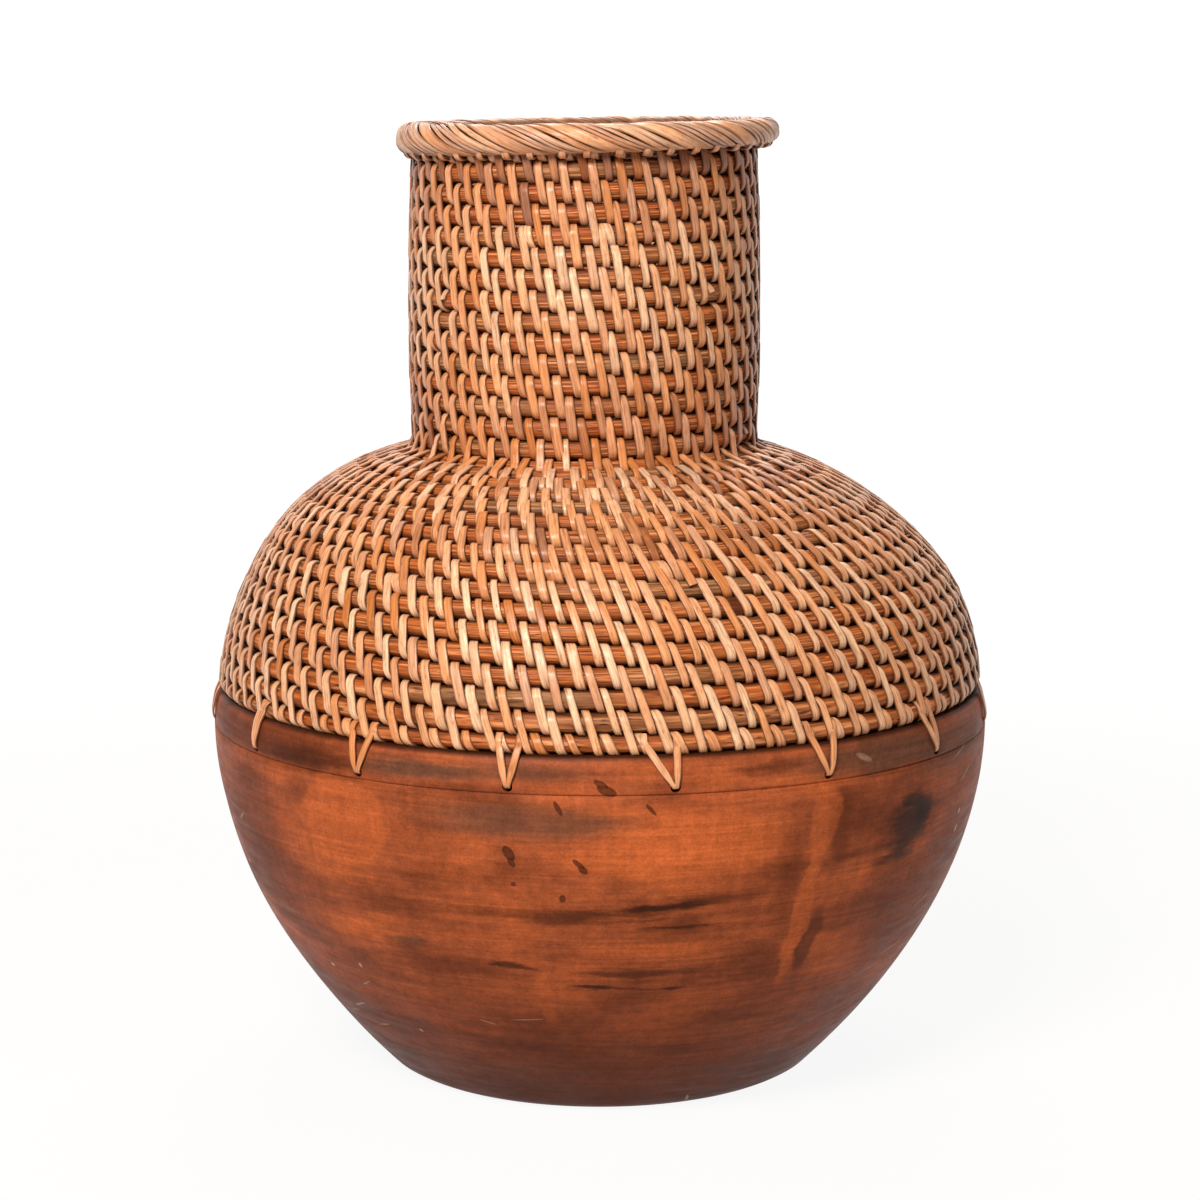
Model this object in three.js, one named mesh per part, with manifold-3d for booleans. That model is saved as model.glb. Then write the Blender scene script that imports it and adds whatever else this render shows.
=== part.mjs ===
// Clay and cane vase: a burnished clay bowl carries a shoulder and a neck of coiled round cane.
// The coil starts as a thin skived end on the bowl's lip and climbs without a step to the rim.
// Lashings through drilled holes tie the lowest course to the bowl, and a wrapped roll ends the neck.
// Millimetres, +Z up, origin at the centre of the foot, front towards -Y.

import * as THREE from 'three';
import { mergeVertices } from 'three/addons/utils/BufferGeometryUtils.js';
import loadManifold from 'manifold-3d';

// Clay bowl
const footRadius = 90;
const footEdge = 2.5;
const bellyRadius = 165;
const bellyHeight = 150;
const bellyFullness = 2.06;
const wallThickness = 9;
const floorThickness = 11;
const lipRise = 13.7;
const lipTurnIn = 3.6;
const lipWidth = 11.5;
const lipDepth = 4;
const lipEdge = 1;
const scoreBelowBelly = 1.2;
const scoreDepth = 0.7;
const scoreWidth = 1.4;

// Coiled cane
const caneDiameter = 7.9;
const courseGap = 0.71;
const coilStartAngle = 35;
const thinnestTaper = 4.2;
const shoulderInset = 7.1;
const shoulderDip = 2.5;
const shoulderRise = 101.6;
const crownInset = 20;
const cornerReach = 7;
const neckBaseRadius = 68.4;
const neckTopRadius = 67;
const neckSwell = 1.6;
const shoulderCaneCount = 5;
const neckCaneCount = 3;

// Wrapped rim roll
const rimTop = 401;
const rimRadius = 74.2;
const rimCoreRadius = 3.8;
const rimStripWidth = 4.2;
const rimStripThickness = 1;
const rimStripCount = 6;
const wrapsPerStrip = 7;
const stripEndGap = 1;

// Lashings between the bowl and the lowest course
const tieCount = 16;
const firstTieAngle = -57.4;
const tieHoleAboveBelly = 1.6;
const tieHoleDiameter = 4;
const drillRunOut = 6;
const tieWidth = 3;
const tieThickness = 1;
const tieLowTurn = 10;
const tieEndTurn = 60;
const thinnestHeldCourse = 4.7;
// Where the tops of the two outer legs of a lashing lie, left and right of its hole
const tieLegTops = [[-1.5, 2.5], [-5, 5.2], [-4.2, 4.2], [-12, 1], [-8, 4.5], [-9, -1.5]];

// Hand-made lean of the cane work: sideways shift, rise to the right at the rim, and the rim's own shift.
// The shift sets in some way above the lip, so that the lower courses stay true to the bowl.
const neckShift = -6.6;
const shiftOnset = 38;
const neckSlope = 0.022;
const rimShift = 2;
// Share of the rim's own shift that the top course follows under it
const rimSeatShare = 0.75;

// Clearances
const seatGap = 0.3;
const tieGap = 0.4;

// Facets
const bowlSegments = 48;
const wallSteps = 8;
const lipSteps = 4;
const holeSides = 8;
const loopSteps = 18;
const caneSides = 6;
const wrapSteps = 6;
const coreSides = 8;
const coreSegments = 36;
const weldDistance = 1e-4;
const stationHalvings = 40;
const pathEnd = 1 - 1e-6;

// Levels and radii that follow from the driving dimensions
const lipTop = bellyHeight + lipRise;
const lipEdgeRadius = bellyRadius - lipTurnIn;
const caneRadius = caneDiameter / 2;
const coursePitch = caneDiameter + courseGap;
const lowestCaneLevel = lipTop + seatGap;
const crownRadius = neckBaseRadius - crownInset;
const crownReach = bellyRadius - shoulderInset - crownRadius;
const crownLevel = lipTop - shoulderDip;
const levelAtInset = (inset) => crownLevel + shoulderRise * Math.sqrt(1 - (inset / crownReach) ** 2);
const cornerLevel = levelAtInset(crownInset);
const crownTopLevel = levelAtInset(crownInset + cornerReach);
const halfWrap = Math.PI / wrapSteps;
const rimPathRadius = (rimCoreRadius + seatGap + rimStripThickness / 2) / Math.cos(halfWrap);
const rimRollRadius = Math.hypot(rimPathRadius + rimStripThickness / 2, rimStripWidth / 2);
const rimCentreLevel = rimTop - rimRollRadius;
const rimReach = rimRollRadius + caneRadius + 2 * seatGap;
const highestCaneLevel = topCutLevel(-Math.PI / 2 * Math.sign(rimShift));
const tieHoleLevel = bellyHeight + tieHoleAboveBelly;
const tieOffset = tieGap + tieThickness / 2;
const lipInner = lipEdgeRadius - lipWidth;
const lipFoot = lipTop - lipDepth;

// Loops are many-sided, so their corners stand out a little and their flats in, about the true radius
const facetGain = 2 / (1 + Math.cos(Math.PI / loopSteps));

const clay = new THREE.MeshStandardMaterial({ color: 0x7d4429, roughness: 0.48, metalness: 0 });
const cane = new THREE.MeshStandardMaterial({ color: 0xa8622f, roughness: 0.6, metalness: 0 });
const peel = new THREE.MeshStandardMaterial({ color: 0xcf9a66, roughness: 0.5, metalness: 0 });

const wasm = await loadManifold();
wasm.setup();

// A closed geometry as a solid that can be joined and cut
function solidOf(geometry) {
  const bare = geometry.clone();
  bare.deleteAttribute('normal');
  bare.deleteAttribute('uv');
  const welded = mergeVertices(bare, weldDistance);
  const corners = Array.from(welded.index.array);
  const triangles = [];
  for (let first = 0; first < corners.length; first += 3) {
    const [a, b, c] = corners.slice(first, first + 3);
    if (a !== b && b !== c && c !== a) {
      triangles.push(a, b, c);
    }
  }
  const vertProperties = Float32Array.from(welded.attributes.position.array);
  const triVerts = Uint32Array.from(triangles);
  return new wasm.Manifold(new wasm.Mesh({ numProp: 3, vertProperties, triVerts }));
}

// A solid as a geometry again
function geometryOf(solid) {
  const mesh = solid.getMesh();
  const geometry = new THREE.BufferGeometry();
  geometry.setAttribute('position', new THREE.BufferAttribute(mesh.vertProperties, 3));
  geometry.setIndex(new THREE.BufferAttribute(mesh.triVerts, 1));
  geometry.computeVertexNormals();
  return geometry;
}

// Direction away from the inside of a tube's bend at one of its rings, nothing at its ends
function bendOutward(rings, number) {
  if (number === 0 || number === rings.length - 1) {
    return new THREE.Vector3();
  }
  const sum = (ring) => ring.reduce((total, point) => total.add(point), new THREE.Vector3());
  const outward = sum(rings[number]).multiplyScalar(2);
  return outward.sub(sum(rings[number - 1])).sub(sum(rings[number + 1]));
}

// A closed tube through a row of rings that have their points in the same order.
// Each facet between two rings is folded so that it bulges away from the inside of the tube's bend.
function tubeThrough(rings) {
  const points = rings.flat();
  const sides = rings[0].length;
  const last = points.length - sides;
  const triangles = [];
  for (let ring = 0; ring < rings.length - 1; ring += 1) {
    const outward = bendOutward(rings, ring).add(bendOutward(rings, ring + 1));
    for (let side = 0; side < sides; side += 1) {
      const here = ring * sides + side;
      const next = ring * sides + (side + 1) % sides;
      const falling = points[next].clone().add(points[here + sides]).dot(outward);
      const rising = points[here].clone().add(points[next + sides]).dot(outward);
      if (falling > rising) {
        triangles.push(here, next, here + sides);
        triangles.push(next, next + sides, here + sides);
      } else {
        triangles.push(here, next, next + sides);
        triangles.push(here, next + sides, here + sides);
      }
    }
  }
  for (let side = 1; side < sides - 1; side += 1) {
    triangles.push(0, side + 1, side);
    triangles.push(last, last + side, last + side + 1);
  }
  const geometry = new THREE.BufferGeometry();
  geometry.setFromPoints(points);
  geometry.setIndex(triangles);
  geometry.computeVertexNormals();
  return geometry;
}

// A point at a radius and a level, at an angle from the front that grows to the right
function around(radius, level, angle) {
  return new THREE.Vector3(radius * Math.sin(angle), -radius * Math.cos(angle), level);
}

// The lean of the cane work: the shift is full from the foot of the neck, the slope grows up the neck
function lean(point) {
  const shifted = THREE.MathUtils.smoothstep(point.z, lipTop + shiftOnset, cornerLevel);
  const sloped = Math.max(0, (point.z - crownTopLevel) / (rimCentreLevel - crownTopLevel));
  return new THREE.Vector3(
    point.x + neckShift * shifted,
    point.y,
    point.z + neckSlope * point.x * sloped,
  );
}

// Least distance between points of a tube's rings that lie at least so many rings apart
function leastGap(rings, apart) {
  let least = Infinity;
  for (let ring = 0; ring < rings.length; ring += 1) {
    for (let other = ring + apart; other < rings.length; other += 1) {
      for (const point of rings[ring]) {
        for (const facing of rings[other]) {
          least = Math.min(least, point.distanceTo(facing));
        }
      }
    }
  }
  return least;
}

// A wound tube, with its least gap to itself printed
function woundTube(name, rings, apart) {
  console.log(`${name}: least gap to itself ${leastGap(rings, apart).toFixed(2)} mm`);
  return tubeThrough(rings);
}

// Outer radius of the clay wall from the foot up to the belly
function wallRadius(level) {
  const above = 1 - level / bellyHeight;
  return footRadius + (bellyRadius - footRadius) * (1 - above ** bellyFullness);
}

// Level distance between the wall's faces, wider where the wall slopes
function wallBreadth(level) {
  const above = 1 - level / bellyHeight;
  const flare = (bellyRadius - footRadius) * bellyFullness / bellyHeight * above ** (bellyFullness - 1);
  return wallThickness * Math.hypot(1, flare);
}

// Outer radius of the lip, which turns in above the belly
function lipRadius(level) {
  const rise = (level - bellyHeight) / lipRise;
  return bellyRadius - lipTurnIn * (1 - Math.sqrt(1 - rise ** 2));
}

// Half section of the bowl from the foot, up the outside, over the lip and down the inside
function bowlSection() {
  const section = [];
  const add = (radius, level) => section.push(new THREE.Vector2(radius, level));
  const scoreLevel = bellyHeight - scoreBelowBelly;
  const halfScore = scoreWidth / 2;
  const outerTop = scoreLevel - halfScore;
  add(0, 0);
  add(footRadius - footEdge, 0);
  for (let step = 0; step <= wallSteps; step += 1) {
    const level = footEdge + (outerTop - footEdge) * step / wallSteps;
    add(wallRadius(level), level);
  }
  add(wallRadius(scoreLevel) - scoreDepth, scoreLevel);
  add(wallRadius(scoreLevel + halfScore), scoreLevel + halfScore);
  for (let step = 0; step <= lipSteps; step += 1) {
    const level = bellyHeight + lipRise * Math.sin(Math.PI / 2 * step / lipSteps);
    add(lipRadius(level), level);
  }
  add(lipInner + lipEdge, lipTop);
  add(lipInner, lipTop - lipEdge);
  add(lipInner, lipFoot);
  for (let step = 0; step <= wallSteps; step += 1) {
    const level = bellyHeight + (floorThickness - bellyHeight) * step / wallSteps;
    add(wallRadius(level) - wallBreadth(level), level);
  }
  add(0, floorThickness);
  return section;
}

// Angle of a lashing from the front
function tieAngle(tie) {
  return THREE.MathUtils.degToRad(firstTieAngle + 360 * tie / tieCount);
}

// The bowl, with a hole for each lashing drilled square through the wall
function clayBowl() {
  const turned = new THREE.LatheGeometry(bowlSection(), bowlSegments);
  turned.rotateX(Math.PI / 2);
  let bowl = solidOf(turned);
  for (let tie = 0; tie < tieCount; tie += 1) {
    const radius = tieHoleDiameter / 2;
    const length = wallThickness + 2 * drillRunOut;
    const drill = new THREE.CylinderGeometry(radius, radius, length, holeSides);
    drill.rotateY(Math.PI / holeSides);
    drill.translate(0, wallThickness / 2 - bellyRadius, 0);
    drill.rotateZ(tieAngle(tie));
    drill.translate(0, 0, tieHoleLevel);
    bowl = bowl.subtract(solidOf(drill));
  }
  return geometryOf(bowl);
}

// Side view of the coil's centre line: the crown of the shoulder, the inner corner and the neck
function coilPath() {
  const startLevel = lowestCaneLevel + caneRadius - coursePitch;
  const startTurn = Math.asin((startLevel - crownLevel) / shoulderRise);
  const endTurn = Math.acos((crownInset + cornerReach) / crownReach);
  const crown = new THREE.EllipseCurve(
    crownRadius, crownLevel, crownReach, shoulderRise, startTurn, endTurn, false, 0,
  );
  const neckFoot = new THREE.Vector2(neckBaseRadius, cornerLevel + cornerReach);
  const neckTop = new THREE.Vector2(neckTopRadius, highestCaneLevel + coursePitch);
  const neckBelly = neckFoot.clone().lerp(neckTop, 0.5);
  neckBelly.x += 2 * neckSwell;
  const cornerPoint = new THREE.Vector2(neckBaseRadius, cornerLevel);
  const path = new THREE.CurvePath();
  path.add(crown);
  path.add(new THREE.QuadraticBezierCurve(crown.getPoint(1), cornerPoint, neckFoot));
  path.add(new THREE.QuadraticBezierCurve(neckFoot, neckBelly, neckTop));
  return path;
}

const coil = coilPath();
const coilLength = coil.getLength();
const crownLength = coil.curves[0].getLength() + coil.curves[1].getLength();

function coilPoint(station) {
  return coil.getPoint(Math.min(station / coilLength, pathEnd));
}

// Station on the coil path that lies one course pitch beyond another, measured straight across
function oneCourseOn(station) {
  const from = coilPoint(station);
  let near = station;
  let far = station + 2 * coursePitch;
  for (let halving = 0; halving < stationHalvings; halving += 1) {
    const middle = (near + far) / 2;
    if (coilPoint(middle).distanceTo(from) < coursePitch) {
      near = middle;
    } else {
      far = middle;
    }
  }
  return far;
}

// Station of the cane at every step of the coil, each loop lying one pitch above the loop before
function coilStations() {
  const found = [];
  for (let step = 0; step < loopSteps; step += 1) {
    found.push(coursePitch * step / loopSteps);
  }
  let next = coursePitch;
  while (next < coilLength - coursePitch / loopSteps) {
    found.push(next);
    next = oneCourseOn(found[found.length - loopSteps]);
  }
  return found;
}

const stations = coilStations();

// Level at which the top course is cut off, higher on the side that the rim is shifted to
function topCutLevel(angle) {
  const followed = rimSeatShare * rimShift * Math.sin(angle);
  const overhang = rimRadius + followed - (1 - rimSeatShare) * Math.abs(rimShift) - neckTopRadius;
  return rimCentreLevel - Math.sqrt(rimReach ** 2 - overhang ** 2) + caneRadius;
}

function stepAngle(step) {
  return THREE.MathUtils.degToRad(coilStartAngle) + 2 * Math.PI * step / loopSteps;
}

// How far the cane's section reaches down and up its course, thinned on the lip and under the rim
function caneReach(step) {
  const level = coilPoint(stations[step]).y;
  return {
    low: Math.max(-caneRadius, lowestCaneLevel - level),
    high: Math.min(caneRadius, topCutLevel(stepAngle(step)) - level),
  };
}

// Ring of points round the cane at a step of the coil
function caneRing(step) {
  const centre = coilPoint(stations[step]);
  const along = coil.getTangent(stations[step] / coilLength);
  const { low, high } = caneReach(step);
  const ring = [];
  for (let side = 0; side < caneSides; side += 1) {
    const turn = Math.PI / 2 - 2 * Math.PI * side / caneSides;
    const up = (low + high) / 2 + (high - low) / 2 * Math.sin(turn);
    const out = caneRadius * Math.cos(turn);
    const radius = centre.x * facetGain + along.x * up + along.y * out;
    const level = centre.y + along.y * up - along.x * out;
    ring.push(lean(around(radius, level, stepAngle(step))));
  }
  return ring;
}

// Ring part of the way from one step to the next, on the straight between them
function caneRingBetween(step, share) {
  const ahead = caneRing(step + 1);
  return caneRing(step).map((point, side) => point.lerp(ahead[side], share));
}

// Half the gap of a splice, as a share of the straight it lies on
function spliceShare(step) {
  const chord = caneRing(step)[0].distanceTo(caneRing(step + 1)[0]);
  return seatGap / 2 / chord;
}

// One length of cane, spliced square in the middle of the straight after its first and last step
function caneLength(name, firstStep, lastStep) {
  const rings = [caneRingBetween(firstStep, 0.5 + spliceShare(firstStep))];
  for (let step = firstStep + 1; step <= lastStep; step += 1) {
    rings.push(caneRing(step));
  }
  rings.push(caneRingBetween(lastStep, 0.5 - spliceShare(lastStep)));
  return woundTube(name, rings, loopSteps / 2);
}

// The first and last steps of each length of cane, shared evenly over the shoulder and over the neck
function caneLengths() {
  const thickEnough = (reach) => reach.high - reach.low >= thinnestTaper;
  const steps = stations.map((_, step) => step).filter((step) => thickEnough(caneReach(step)));
  const first = steps[0];
  const last = steps[steps.length - 1] - 1;
  const neckStart = stations.findIndex((station) => station > crownLength);
  const runs = [
    { name: 'shoulder_cane', from: first, to: neckStart, count: shoulderCaneCount },
    { name: 'neck_cane', from: neckStart, to: last, count: neckCaneCount },
  ];
  const lengths = [];
  for (const { name, from, to, count } of runs) {
    const stepsEach = (to - from) / count;
    for (let number = 1; number <= count; number += 1) {
      const firstStep = Math.round(from + stepsEach * (number - 1));
      const lastStep = Math.round(from + stepsEach * number);
      lengths.push({ name: `${name}_${number}`, firstStep, lastStep });
    }
  }
  return lengths;
}

// Round core of the rim, leaning with the neck
function rimCore() {
  const ring = new THREE.TorusGeometry(rimRadius, rimCoreRadius, coreSides, coreSegments);
  ring.translate(0, 0, rimCentreLevel);
  const place = ring.attributes.position;
  const point = new THREE.Vector3();
  for (let corner = 0; corner < place.count; corner += 1) {
    point.fromBufferAttribute(place, corner);
    const leaning = lean(point);
    place.setXYZ(corner, leaning.x + rimShift, leaning.y, leaning.z);
  }
  return geometryOf(solidOf(ring));
}

// Point of a rim strip's middle line, a number of wrap steps along it
function rimStripPoint(strip, step, radius) {
  const angle = 2 * Math.PI * step / (wrapSteps * wrapsPerStrip);
  const wrap = 2 * Math.PI * (strip / rimStripCount - step / wrapSteps);
  return around(rimRadius + radius * Math.cos(wrap), rimCentreLevel + radius * Math.sin(wrap), angle);
}

// Four corners of a rim strip's flat section
function rimStripRing(strip, step) {
  const ahead = rimStripPoint(strip, step + 0.5, rimPathRadius);
  const behind = rimStripPoint(strip, step - 0.5, rimPathRadius);
  const along = ahead.sub(behind).normalize();
  const middle = rimStripPoint(strip, step, rimPathRadius);
  const out = middle.clone().sub(rimStripPoint(strip, step, 0)).normalize();
  const across = out.clone().cross(along).normalize();
  const corners = [[1, 1], [-1, 1], [-1, -1], [1, -1]];
  return corners.map(([side, face]) => {
    const corner = middle.clone();
    corner.addScaledVector(across, side * rimStripWidth / 2);
    corner.addScaledVector(out, face * rimStripThickness / 2);
    const leaning = lean(corner);
    leaning.x += rimShift;
    return leaning;
  });
}

// One strip of the rim's wrapping, wound round the core from end to end without a break
function rimStrip(strip, name) {
  const lastStep = wrapSteps * wrapsPerStrip;
  const rings = [];
  for (let step = 0; step < lastStep; step += 1) {
    rings.push(rimStripRing(strip, step));
  }
  const before = rings[lastStep - 1];
  const meeting = rimStripRing(strip, lastStep);
  const chord = before[0].distanceTo(meeting[0]);
  rings.push(before.map((point, corner) => point.clone().lerp(meeting[corner], 1 - stripEndGap / chord)));
  return woundTube(name, rings, wrapSteps / 2);
}

// A flat ribbon through points given by radius, level and side, its thickness in the radial plane
function ribbon(points) {
  const flat = points.map(({ radius, level }) => new THREE.Vector2(radius, level));
  const rings = points.map(({ side }, number) => {
    const before = flat[Math.max(number - 1, 0)];
    const here = flat[number];
    const after = flat[Math.min(number + 1, flat.length - 1)];
    const arriving = here.clone().sub(before).normalize();
    const leaving = after.clone().sub(here).normalize();
    const along = arriving.clone().add(leaving).normalize();
    const mitre = tieThickness / 2 / Math.max(along.dot(arriving), along.dot(leaving));
    const corners = [[1, 1], [1, -1], [-1, -1], [-1, 1]];
    return corners.map(([face, edge]) => new THREE.Vector3(
      side + edge * tieWidth / 2,
      -(here.x - along.y * face * mitre),
      here.y + along.x * face * mitre,
    ));
  });
  return tubeThrough(rings);
}

// The lowest course that is thick enough to be held, at an angle from the front
function heldCourse(angle) {
  const turn = (angle - stepAngle(0)) / (2 * Math.PI);
  let step = (turn - Math.floor(turn)) * loopSteps;
  const { low, high } = caneReach(Math.floor(step));
  if (high - low < thinnestHeldCourse) {
    step += loopSteps;
  }
  const before = Math.floor(step);
  const corners = [before, before + 1].map((corner) => {
    const { x, y } = coilPoint(stations[corner]);
    const reach = caneReach(corner);
    const middle = y + (reach.low + reach.high) / 2;
    return { centre: around(x * facetGain, middle, stepAngle(corner)), half: (reach.high - reach.low) / 2 };
  });
  const share = step - before;
  const centre = corners[0].centre.lerp(corners[1].centre, share);
  const half = THREE.MathUtils.lerp(corners[0].half, corners[1].half, share);
  return { radius: Math.hypot(centre.x, centre.y), level: centre.z, half };
}

// A point of a lashing where it lies over a course, at a turn from level outwards, in degrees
function overCourse(course, turn, side) {
  const angle = THREE.MathUtils.degToRad(turn);
  return {
    radius: course.radius + (caneRadius + tieOffset) * Math.cos(angle),
    level: course.level + (course.half + tieOffset) * Math.sin(angle),
    side,
  };
}

// Outer leg of a lashing, from its hole over the lip to the groove above the course that it holds
function outerLeg(angle, top) {
  const course = heldCourse(angle + top / bellyRadius);
  const lowLevel = bellyHeight + lipRise / 2;
  const highLevel = lipTop - tieThickness;
  const sideAt = (level) => top * (level - tieHoleLevel) / (course.level - tieHoleLevel);
  return [
    { radius: bellyRadius + tieOffset, level: tieHoleLevel, side: 0 },
    { radius: lipRadius(lowLevel) + tieOffset, level: lowLevel, side: sideAt(lowLevel) },
    { radius: lipRadius(highLevel) + 2 * tieOffset, level: highLevel, side: sideAt(highLevel) },
    overCourse(course, -tieLowTurn, top),
    overCourse(course, tieEndTurn / 2, top),
    overCourse(course, tieEndTurn, top),
  ];
}

// Inner leg of a lashing, from the groove inside the coil down behind the lip to its hole
function innerLeg(angle) {
  const course = heldCourse(angle);
  const behindLip = lipInner * Math.cos(Math.PI / bowlSegments) - tieOffset;
  const belowLip = (tieHoleLevel - lipFoot) / (bellyHeight - lipFoot);
  const atHole = THREE.MathUtils.lerp(lipInner, bellyRadius - wallThickness, belowLip);
  return [
    overCourse(course, 180 - tieEndTurn, 0),
    overCourse(course, 180 - tieEndTurn / 2, 0),
    overCourse(course, 180 + tieLowTurn, 0),
    { radius: behindLip, level: lipTop, side: 0 },
    { radius: behindLip, level: lipFoot, side: 0 },
    { radius: atHole - 2 * tieOffset, level: tieHoleLevel, side: 0 },
  ];
}

// A lashing: two legs outside and one inside, joined in the hole
function lashing(tie) {
  const angle = tieAngle(tie);
  const [leftTop, rightTop] = tieLegTops[tie % tieLegTops.length];
  const inHole = { radius: bellyRadius - wallThickness / 2, level: tieHoleLevel, side: 0 };
  const left = ribbon([...innerLeg(angle), ...outerLeg(angle, leftTop)]);
  const right = ribbon([inHole, ...outerLeg(angle, rightTop)]);
  const geometry = geometryOf(solidOf(left).add(solidOf(right)));
  geometry.rotateZ(angle);
  return geometry;
}

const vase = new THREE.Group();

function addPiece(name, geometry, material) {
  const mesh = new THREE.Mesh(geometry, material.clone());
  mesh.name = name;
  vase.add(mesh);
}

addPiece('clay_bowl', clayBowl(), clay);
for (const { name, firstStep, lastStep } of caneLengths()) {
  addPiece(name, caneLength(name, firstStep, lastStep), cane);
}
addPiece('rim_core', rimCore(), cane);
for (let strip = 0; strip < rimStripCount; strip += 1) {
  const name = `rim_strip_${strip + 1}`;
  addPiece(name, rimStrip(strip, name), peel);
}
for (let tie = 0; tie < tieCount; tie += 1) {
  addPiece(`tie_${String(tie + 1).padStart(2, '0')}`, lashing(tie), peel);
}

export default vase;
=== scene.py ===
"""Looks of a clay and cane vase, built round its packed solids.

A burnished clay bowl carries a shoulder and a neck of coiled round cane. Strips of cane peel sew
each course of the coil to the course below, lash the lowest course to the bowl and cover the rim.
"""

import bisect
import math
import random

import bpy
import numpy as np
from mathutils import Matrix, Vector


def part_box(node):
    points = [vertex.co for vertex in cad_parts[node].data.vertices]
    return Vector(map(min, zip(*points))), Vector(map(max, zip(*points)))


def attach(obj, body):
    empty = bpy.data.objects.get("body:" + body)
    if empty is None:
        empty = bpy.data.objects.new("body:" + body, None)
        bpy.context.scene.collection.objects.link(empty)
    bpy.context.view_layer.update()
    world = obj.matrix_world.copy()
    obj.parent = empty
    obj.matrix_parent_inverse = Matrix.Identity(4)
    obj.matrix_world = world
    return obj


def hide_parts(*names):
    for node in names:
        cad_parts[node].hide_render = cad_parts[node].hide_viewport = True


bl_info = {
    "name": "Clay and Cane Vase",
    "version": (1, 0, 0),
    "blender": (4, 5, 0),
    "location": "View3D > Sidebar > Vase",
    "description": "Builds a burnished clay bowl with a stitched cane shoulder, neck and rim",
    "category": "Add Mesh",
}

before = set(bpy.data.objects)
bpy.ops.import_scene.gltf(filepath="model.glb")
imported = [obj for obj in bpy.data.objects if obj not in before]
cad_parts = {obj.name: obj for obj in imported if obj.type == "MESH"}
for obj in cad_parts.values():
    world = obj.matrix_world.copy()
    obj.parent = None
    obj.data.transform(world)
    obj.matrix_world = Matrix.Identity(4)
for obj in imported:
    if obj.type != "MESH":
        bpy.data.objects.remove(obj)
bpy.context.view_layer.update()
MM = 0.001
FULL_TURN = 2 * math.pi


def linear(colour):
    """A colour from its sRGB hex value, as the linear values that shaders use."""
    parts = [int(colour[place : place + 2], 16) / 255 for place in (0, 2, 4)]
    return [c / 12.92 if c <= 0.04045 else ((c + 0.055) / 1.055) ** 2.4 for c in parts] + [1.0]


def length(name, description, default):
    """A length in metres that a user may change."""
    return bpy.props.FloatProperty(
        name=name, description=description, default=default, unit="LENGTH", precision=5
    )


def angle(name, description, degrees):
    """An angle that a user may change."""
    return bpy.props.FloatProperty(
        name=name, description=description, default=math.radians(degrees), subtype="ANGLE"
    )


def number(name, description, default):
    """A plain number that a user may change."""
    return bpy.props.FloatProperty(name=name, description=description, default=default)


def count(name, description, default):
    """A count that a user may change."""
    return bpy.props.IntProperty(name=name, description=description, default=default, min=1)


def colour(name, description, default):
    """A colour that a user may change, given by its sRGB hex value."""
    return bpy.props.FloatVectorProperty(
        name=name, description=description, default=linear(default), subtype="COLOR", size=4
    )


class BowlSettings(bpy.types.PropertyGroup):
    """Sizes and colours of the clay bowl."""

    foot_radius: length("Foot radius", "Radius of the bowl at the flat foot", 0.090)
    foot_edge: length("Foot edge", "Rounding between the foot and the wall", 0.0025)
    belly_radius: length("Belly radius", "Widest radius of the bowl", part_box("clay_bowl")[1].x)
    belly_height: length("Belly height", "Height of the widest part above the foot", 0.150)
    fullness: number("Fullness", "How soon the wall swells out above the foot", 2.06)
    wall: length("Wall", "Thickness of the clay wall", 0.009)
    floor: length("Floor", "Thickness of the clay floor", 0.011)
    lip_rise: length("Lip rise", "Height of the lip above the belly", 0.0137)
    lip_turn_in: length("Lip turn-in", "How far the lip turns in", 0.0036)
    lip_width: length("Lip width", "Width of the lip's flat top", 0.0115)
    lip_depth: length("Lip depth", "Height of the lip's inner face", 0.004)
    score_drop: length("Score drop", "Scored line below the belly", 0.0012)
    score_depth: length("Score depth", "Depth of the scored line", 0.0007)
    score_width: length("Score width", "Width of the scored line", 0.0014)
    unevenness: length("Unevenness", "Swell and hollow left by hand work", 0.0004)
    clay: colour("Clay", "Burnished clay", "9b4f2e")
    bright_clay: colour("Bright clay", "Clay that no smoke reached", "c26233")
    brown_clay: colour("Brown clay", "Lightly smoked clay", "68321b")
    grey_clay: colour("Grey clay", "Clay greyed by smoke", "624131")
    # Colour that the clay darkens to towards the foot
    foot_clay: colour("Foot clay", "Dull clay towards the foot", "582813")
    # Smoked clay, also used for the painted shade on the lip under the lowest course
    smoke_and_shade: colour("Smoke", "Heavily smoked clay", "281209")
    scuff: colour("Scuff", "Scuffed and chipped clay", "cfae98")


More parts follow.
